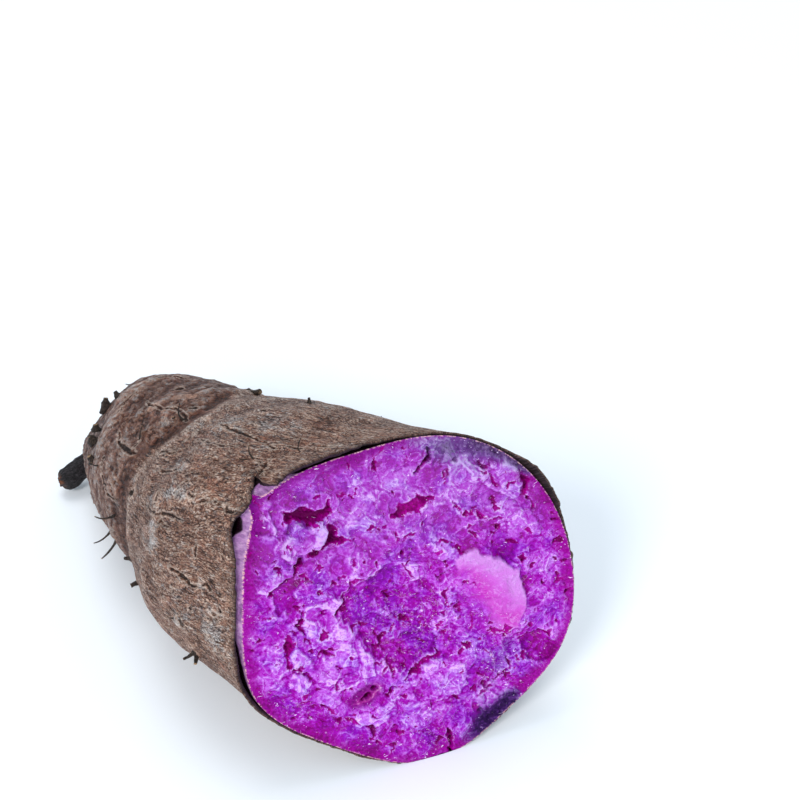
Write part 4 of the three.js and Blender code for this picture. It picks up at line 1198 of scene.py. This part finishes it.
def makeSkinMaterial(fibreGroup):
    m = Shade("wrinkled skin")
    place = m.attribute("grainPlace", "Vector")
    hollow, deep, inside, dark, crack = m.attributes("hollow deep inside dark crack")
    grey, peach, tail, fromEdge = m.attributes("grey peach tail fromEdge")
    along = m.group(fibreGroup, Place=place, **skin["fibres"])
    across = m.group(fibreGroup, Place=m.stretch(place, (0.4, 0.4, 2.4)), **skin["tailFibres"])
    onTail = m.between(m.plus(tail, m.noise(place, 0.12, 2, 0.5)), 0.9, 1.3)
    fibreTone, fibreHeight = (
        m.plus(m.times(along[name], m.minus(1.0, onTail)), m.times(across[name], m.times(onTail, 0.75)))
        for name in ("Tone", "Height"))
    # painted sheen: the tail's ridge crests greyer and less red
    ridge = m.times(hollow, onTail)
    patches = m.noise(place, 0.16, 3, 0.6)
    blotches = m.noise(m.stretch(place, (1, 1, 0.55), (9, 70, 4)), 0.5, 4, 0.65, 0.8)
    # painted shade darker in hollows, wrinkles and rings, painted light paler where the skin stands
    # out, with the fibres, grey patches and a darker tail
    tone = m.summed(m.added(hollow, 0.12, skin["baseTone"]), (deep, 0.1), (fibreTone, 1.0),
                    (dark, -0.14), (grey, 0.16), (tail, -0.11))
    tone = m.centred(tone, (patches, 0.16), (blotches, 0.1))
    brown, greyish, reddish = (m.ramp(tone, skin[name]) for name in ("brown", "greyish", "reddish"))
    ragged = m.noise(m.stretch(place, (1, 1, 0.6), (60, 8, 2)), 0.8, 4, 0.7)
    greyness = m.between(m.summed(ragged, (grey, 0.3), (ridge, 0.12)), 0.52, 0.72)
    redness = m.noise(m.stretch(place, (1, 1, 0.7), (2, 90, 31)), 0.2, 4, 0.7)
    redness = m.between(m.summed(redness, (tail, 0.05), (ridge, -0.08)), 0.5, 0.7)
    colour = m.mix(redness, m.mix(greyness, brown, greyish), reddish)
    colour = m.mix(m.between(m.times(peach, ragged), 0.2, 0.32, 0.0, 0.8), colour, skin["peachTone"])
    # fine flecks of bluish grey, partly painted glints, and of rust
    flecks = m.noise(m.stretch(place, (1, 1, 0.4), (81, 6, 12)), 2.4, 3, 0.85)
    colour = m.mix(m.between(flecks, 0.56, 0.72, 0.0, 0.5), colour, skin["greyFlecksAndGlints"])
    colour = m.mix(m.between(flecks, 0.44, 0.3, 0.0, 0.5), colour, skin["rustFlecks"])
    # dark cracks with ragged edges and a paler lip, a painted highlight
    gap = m.centred(crack, (m.noise(m.stretch(place, (1, 1, 0.6), (33, 2, 7)), 1.6, 2, 0.8), 1.1))
    lipHighlight = m.times(m.between(gap, -0.5, -0.3), m.between(gap, -0.08, -0.2))
    colour = m.mix(m.times(lipHighlight, 0.55), colour, skin["crackHighlight"])
    opened = m.between(gap, -0.02, 0.2)
    colour = m.mix(m.times(opened, 0.85), colour, skin["crackTone"])
    colour = m.mix(m.times(m.between(fromEdge, 1.2, 0.0), 0.55), colour, skin["edgeTone"])
    bumps = m.summed(fibreHeight, (opened, -0.6), (blotches, 0.5))
    # the inner face near black: its own dark colour and painted shade in the gap
    return m.finish({
        "Base Color": m.mix(inside, colour, m.ramp(blotches, skin["insideToneAndShade"])),
        "Roughness": m.added(onTail, -0.1, m.between(tone, 0.2, 0.8, 0.7, 0.46)),
        "Normal": m.bump(bumps, 1.0, 0.0016), "Specular IOR Level": 0.35,
    })


def makeRootMaterial(fibreGroup, name, root):
    m = Shade(name)
    place, tip = m.attribute("grainPlace", "Vector"), m.attribute("tip")
    fibres = m.group(fibreGroup, Place=place, Fineness=root["fineness"])
    tone = m.added(fibres["Tone"], 1.0, 0.5)
    ends = m.times(m.between(tip, 0.9, 1.0), m.between(m.noise(place, 0.5, 3, 0.6), 0.4, 0.6))
    return m.finish({
        "Base Color": m.mix(ends, m.ramp(tone, root["tones"]), root["tipTone"]),
        "Roughness": m.between(tone, 0.3, 0.7, 0.75, 0.5),
        "Normal": m.bump(fibres["Height"], 0.9, 0.0005), "Specular IOR Level": 0.35,
    })


def complete(piece, material):
    piece.data.materials.append(material)
    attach(piece, "root")
    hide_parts("yam")


print("flesh")
complete(makeFlesh(), makeFleshMaterial())
print("skin")
fibreGroup = makeFibreGroup()
complete(makeSkin(), makeSkinMaterial(fibreGroup))
print("roots")
complete(makeRootlets(), makeRootMaterial(fibreGroup, "dry rootlets", rootlets))
complete(makeTailRoot(), makeRootMaterial(fibreGroup, "dark tail root", tailRoot))

# floor, lights and camera
print("stage")
stageValues = {
    "floor": (246, 250, 255), "floorSize": 6, "floorRoughness": 0.6,
    "sky": (0.8, 0.91, 1.0), "skyStrength": 0.75,
    # name, place, aim, size, watts, colour
    "lights": [
        ("key", (-1.6, -0.75, 1.5), (0, -0.01, 0.02), 0.7, 26, (1.0, 0.98, 0.95)),
        ("top", (0.2, 0.9, 2.2), (0, 0, 0.02), 1.4, 14, (1.0, 0.99, 0.98)),
        ("fill", (-0.7, -2.0, 0.6), (0, -0.02, 0.02), 1.3, 12, (0.97, 0.98, 1.0))],
    "cameraPlace": (-0.186504, -0.269128, 0.311785),
    "cameraBack": (-0.506524, -0.603651, 0.615661),
    "lens": 90, "sensor": 36, "nearest": 0.02, "farthest": 20,
}
bpy.ops.object.select_all(action="DESELECT")
bpy.ops.mesh.primitive_plane_add(size=stageValues["floorSize"], location=(0, 0, 0))
floor = bpy.context.object
floor.name = "floor"
floor.data.materials.append(Shade("pale floor").finish(
    {"Base Color": stageValues["floor"], "Roughness": stageValues["floorRoughness"]}))

world = bpy.data.worlds.new("soft light")
world.use_nodes = True
sky = world.node_tree.nodes["Background"].inputs
sky["Color"].default_value = (*stageValues["sky"], 1)
sky["Strength"].default_value = stageValues["skyStrength"]
bpy.context.scene.world = world


def setUp(name, data, place, away):
    # a lamp or camera that looks along away
    thing = bpy.data.objects.new(name, data)
    bpy.context.scene.collection.objects.link(thing)
    thing.location = place
    thing.rotation_euler = away.to_track_quat("-Z", "Y").to_euler()
    return thing


for name, place, aim, size, watts, colour in stageValues["lights"]:
    lamp = bpy.data.lights.new(name, "AREA")
    lamp.shape, lamp.size = "DISK", size
    lamp.energy, lamp.color = watts, colour
    setUp(name, lamp, place, Vector(aim) - Vector(place))

camera = bpy.data.cameras.new("camera")
camera.lens, camera.sensor_width = stageValues["lens"], stageValues["sensor"]
camera.clip_start, camera.clip_end = stageValues["nearest"], stageValues["farthest"]
away = -Vector(stageValues["cameraBack"])
bpy.context.scene.camera = setUp("camera", camera, stageValues["cameraPlace"], away)
bpy.context.scene.view_settings.view_transform = "Standard"
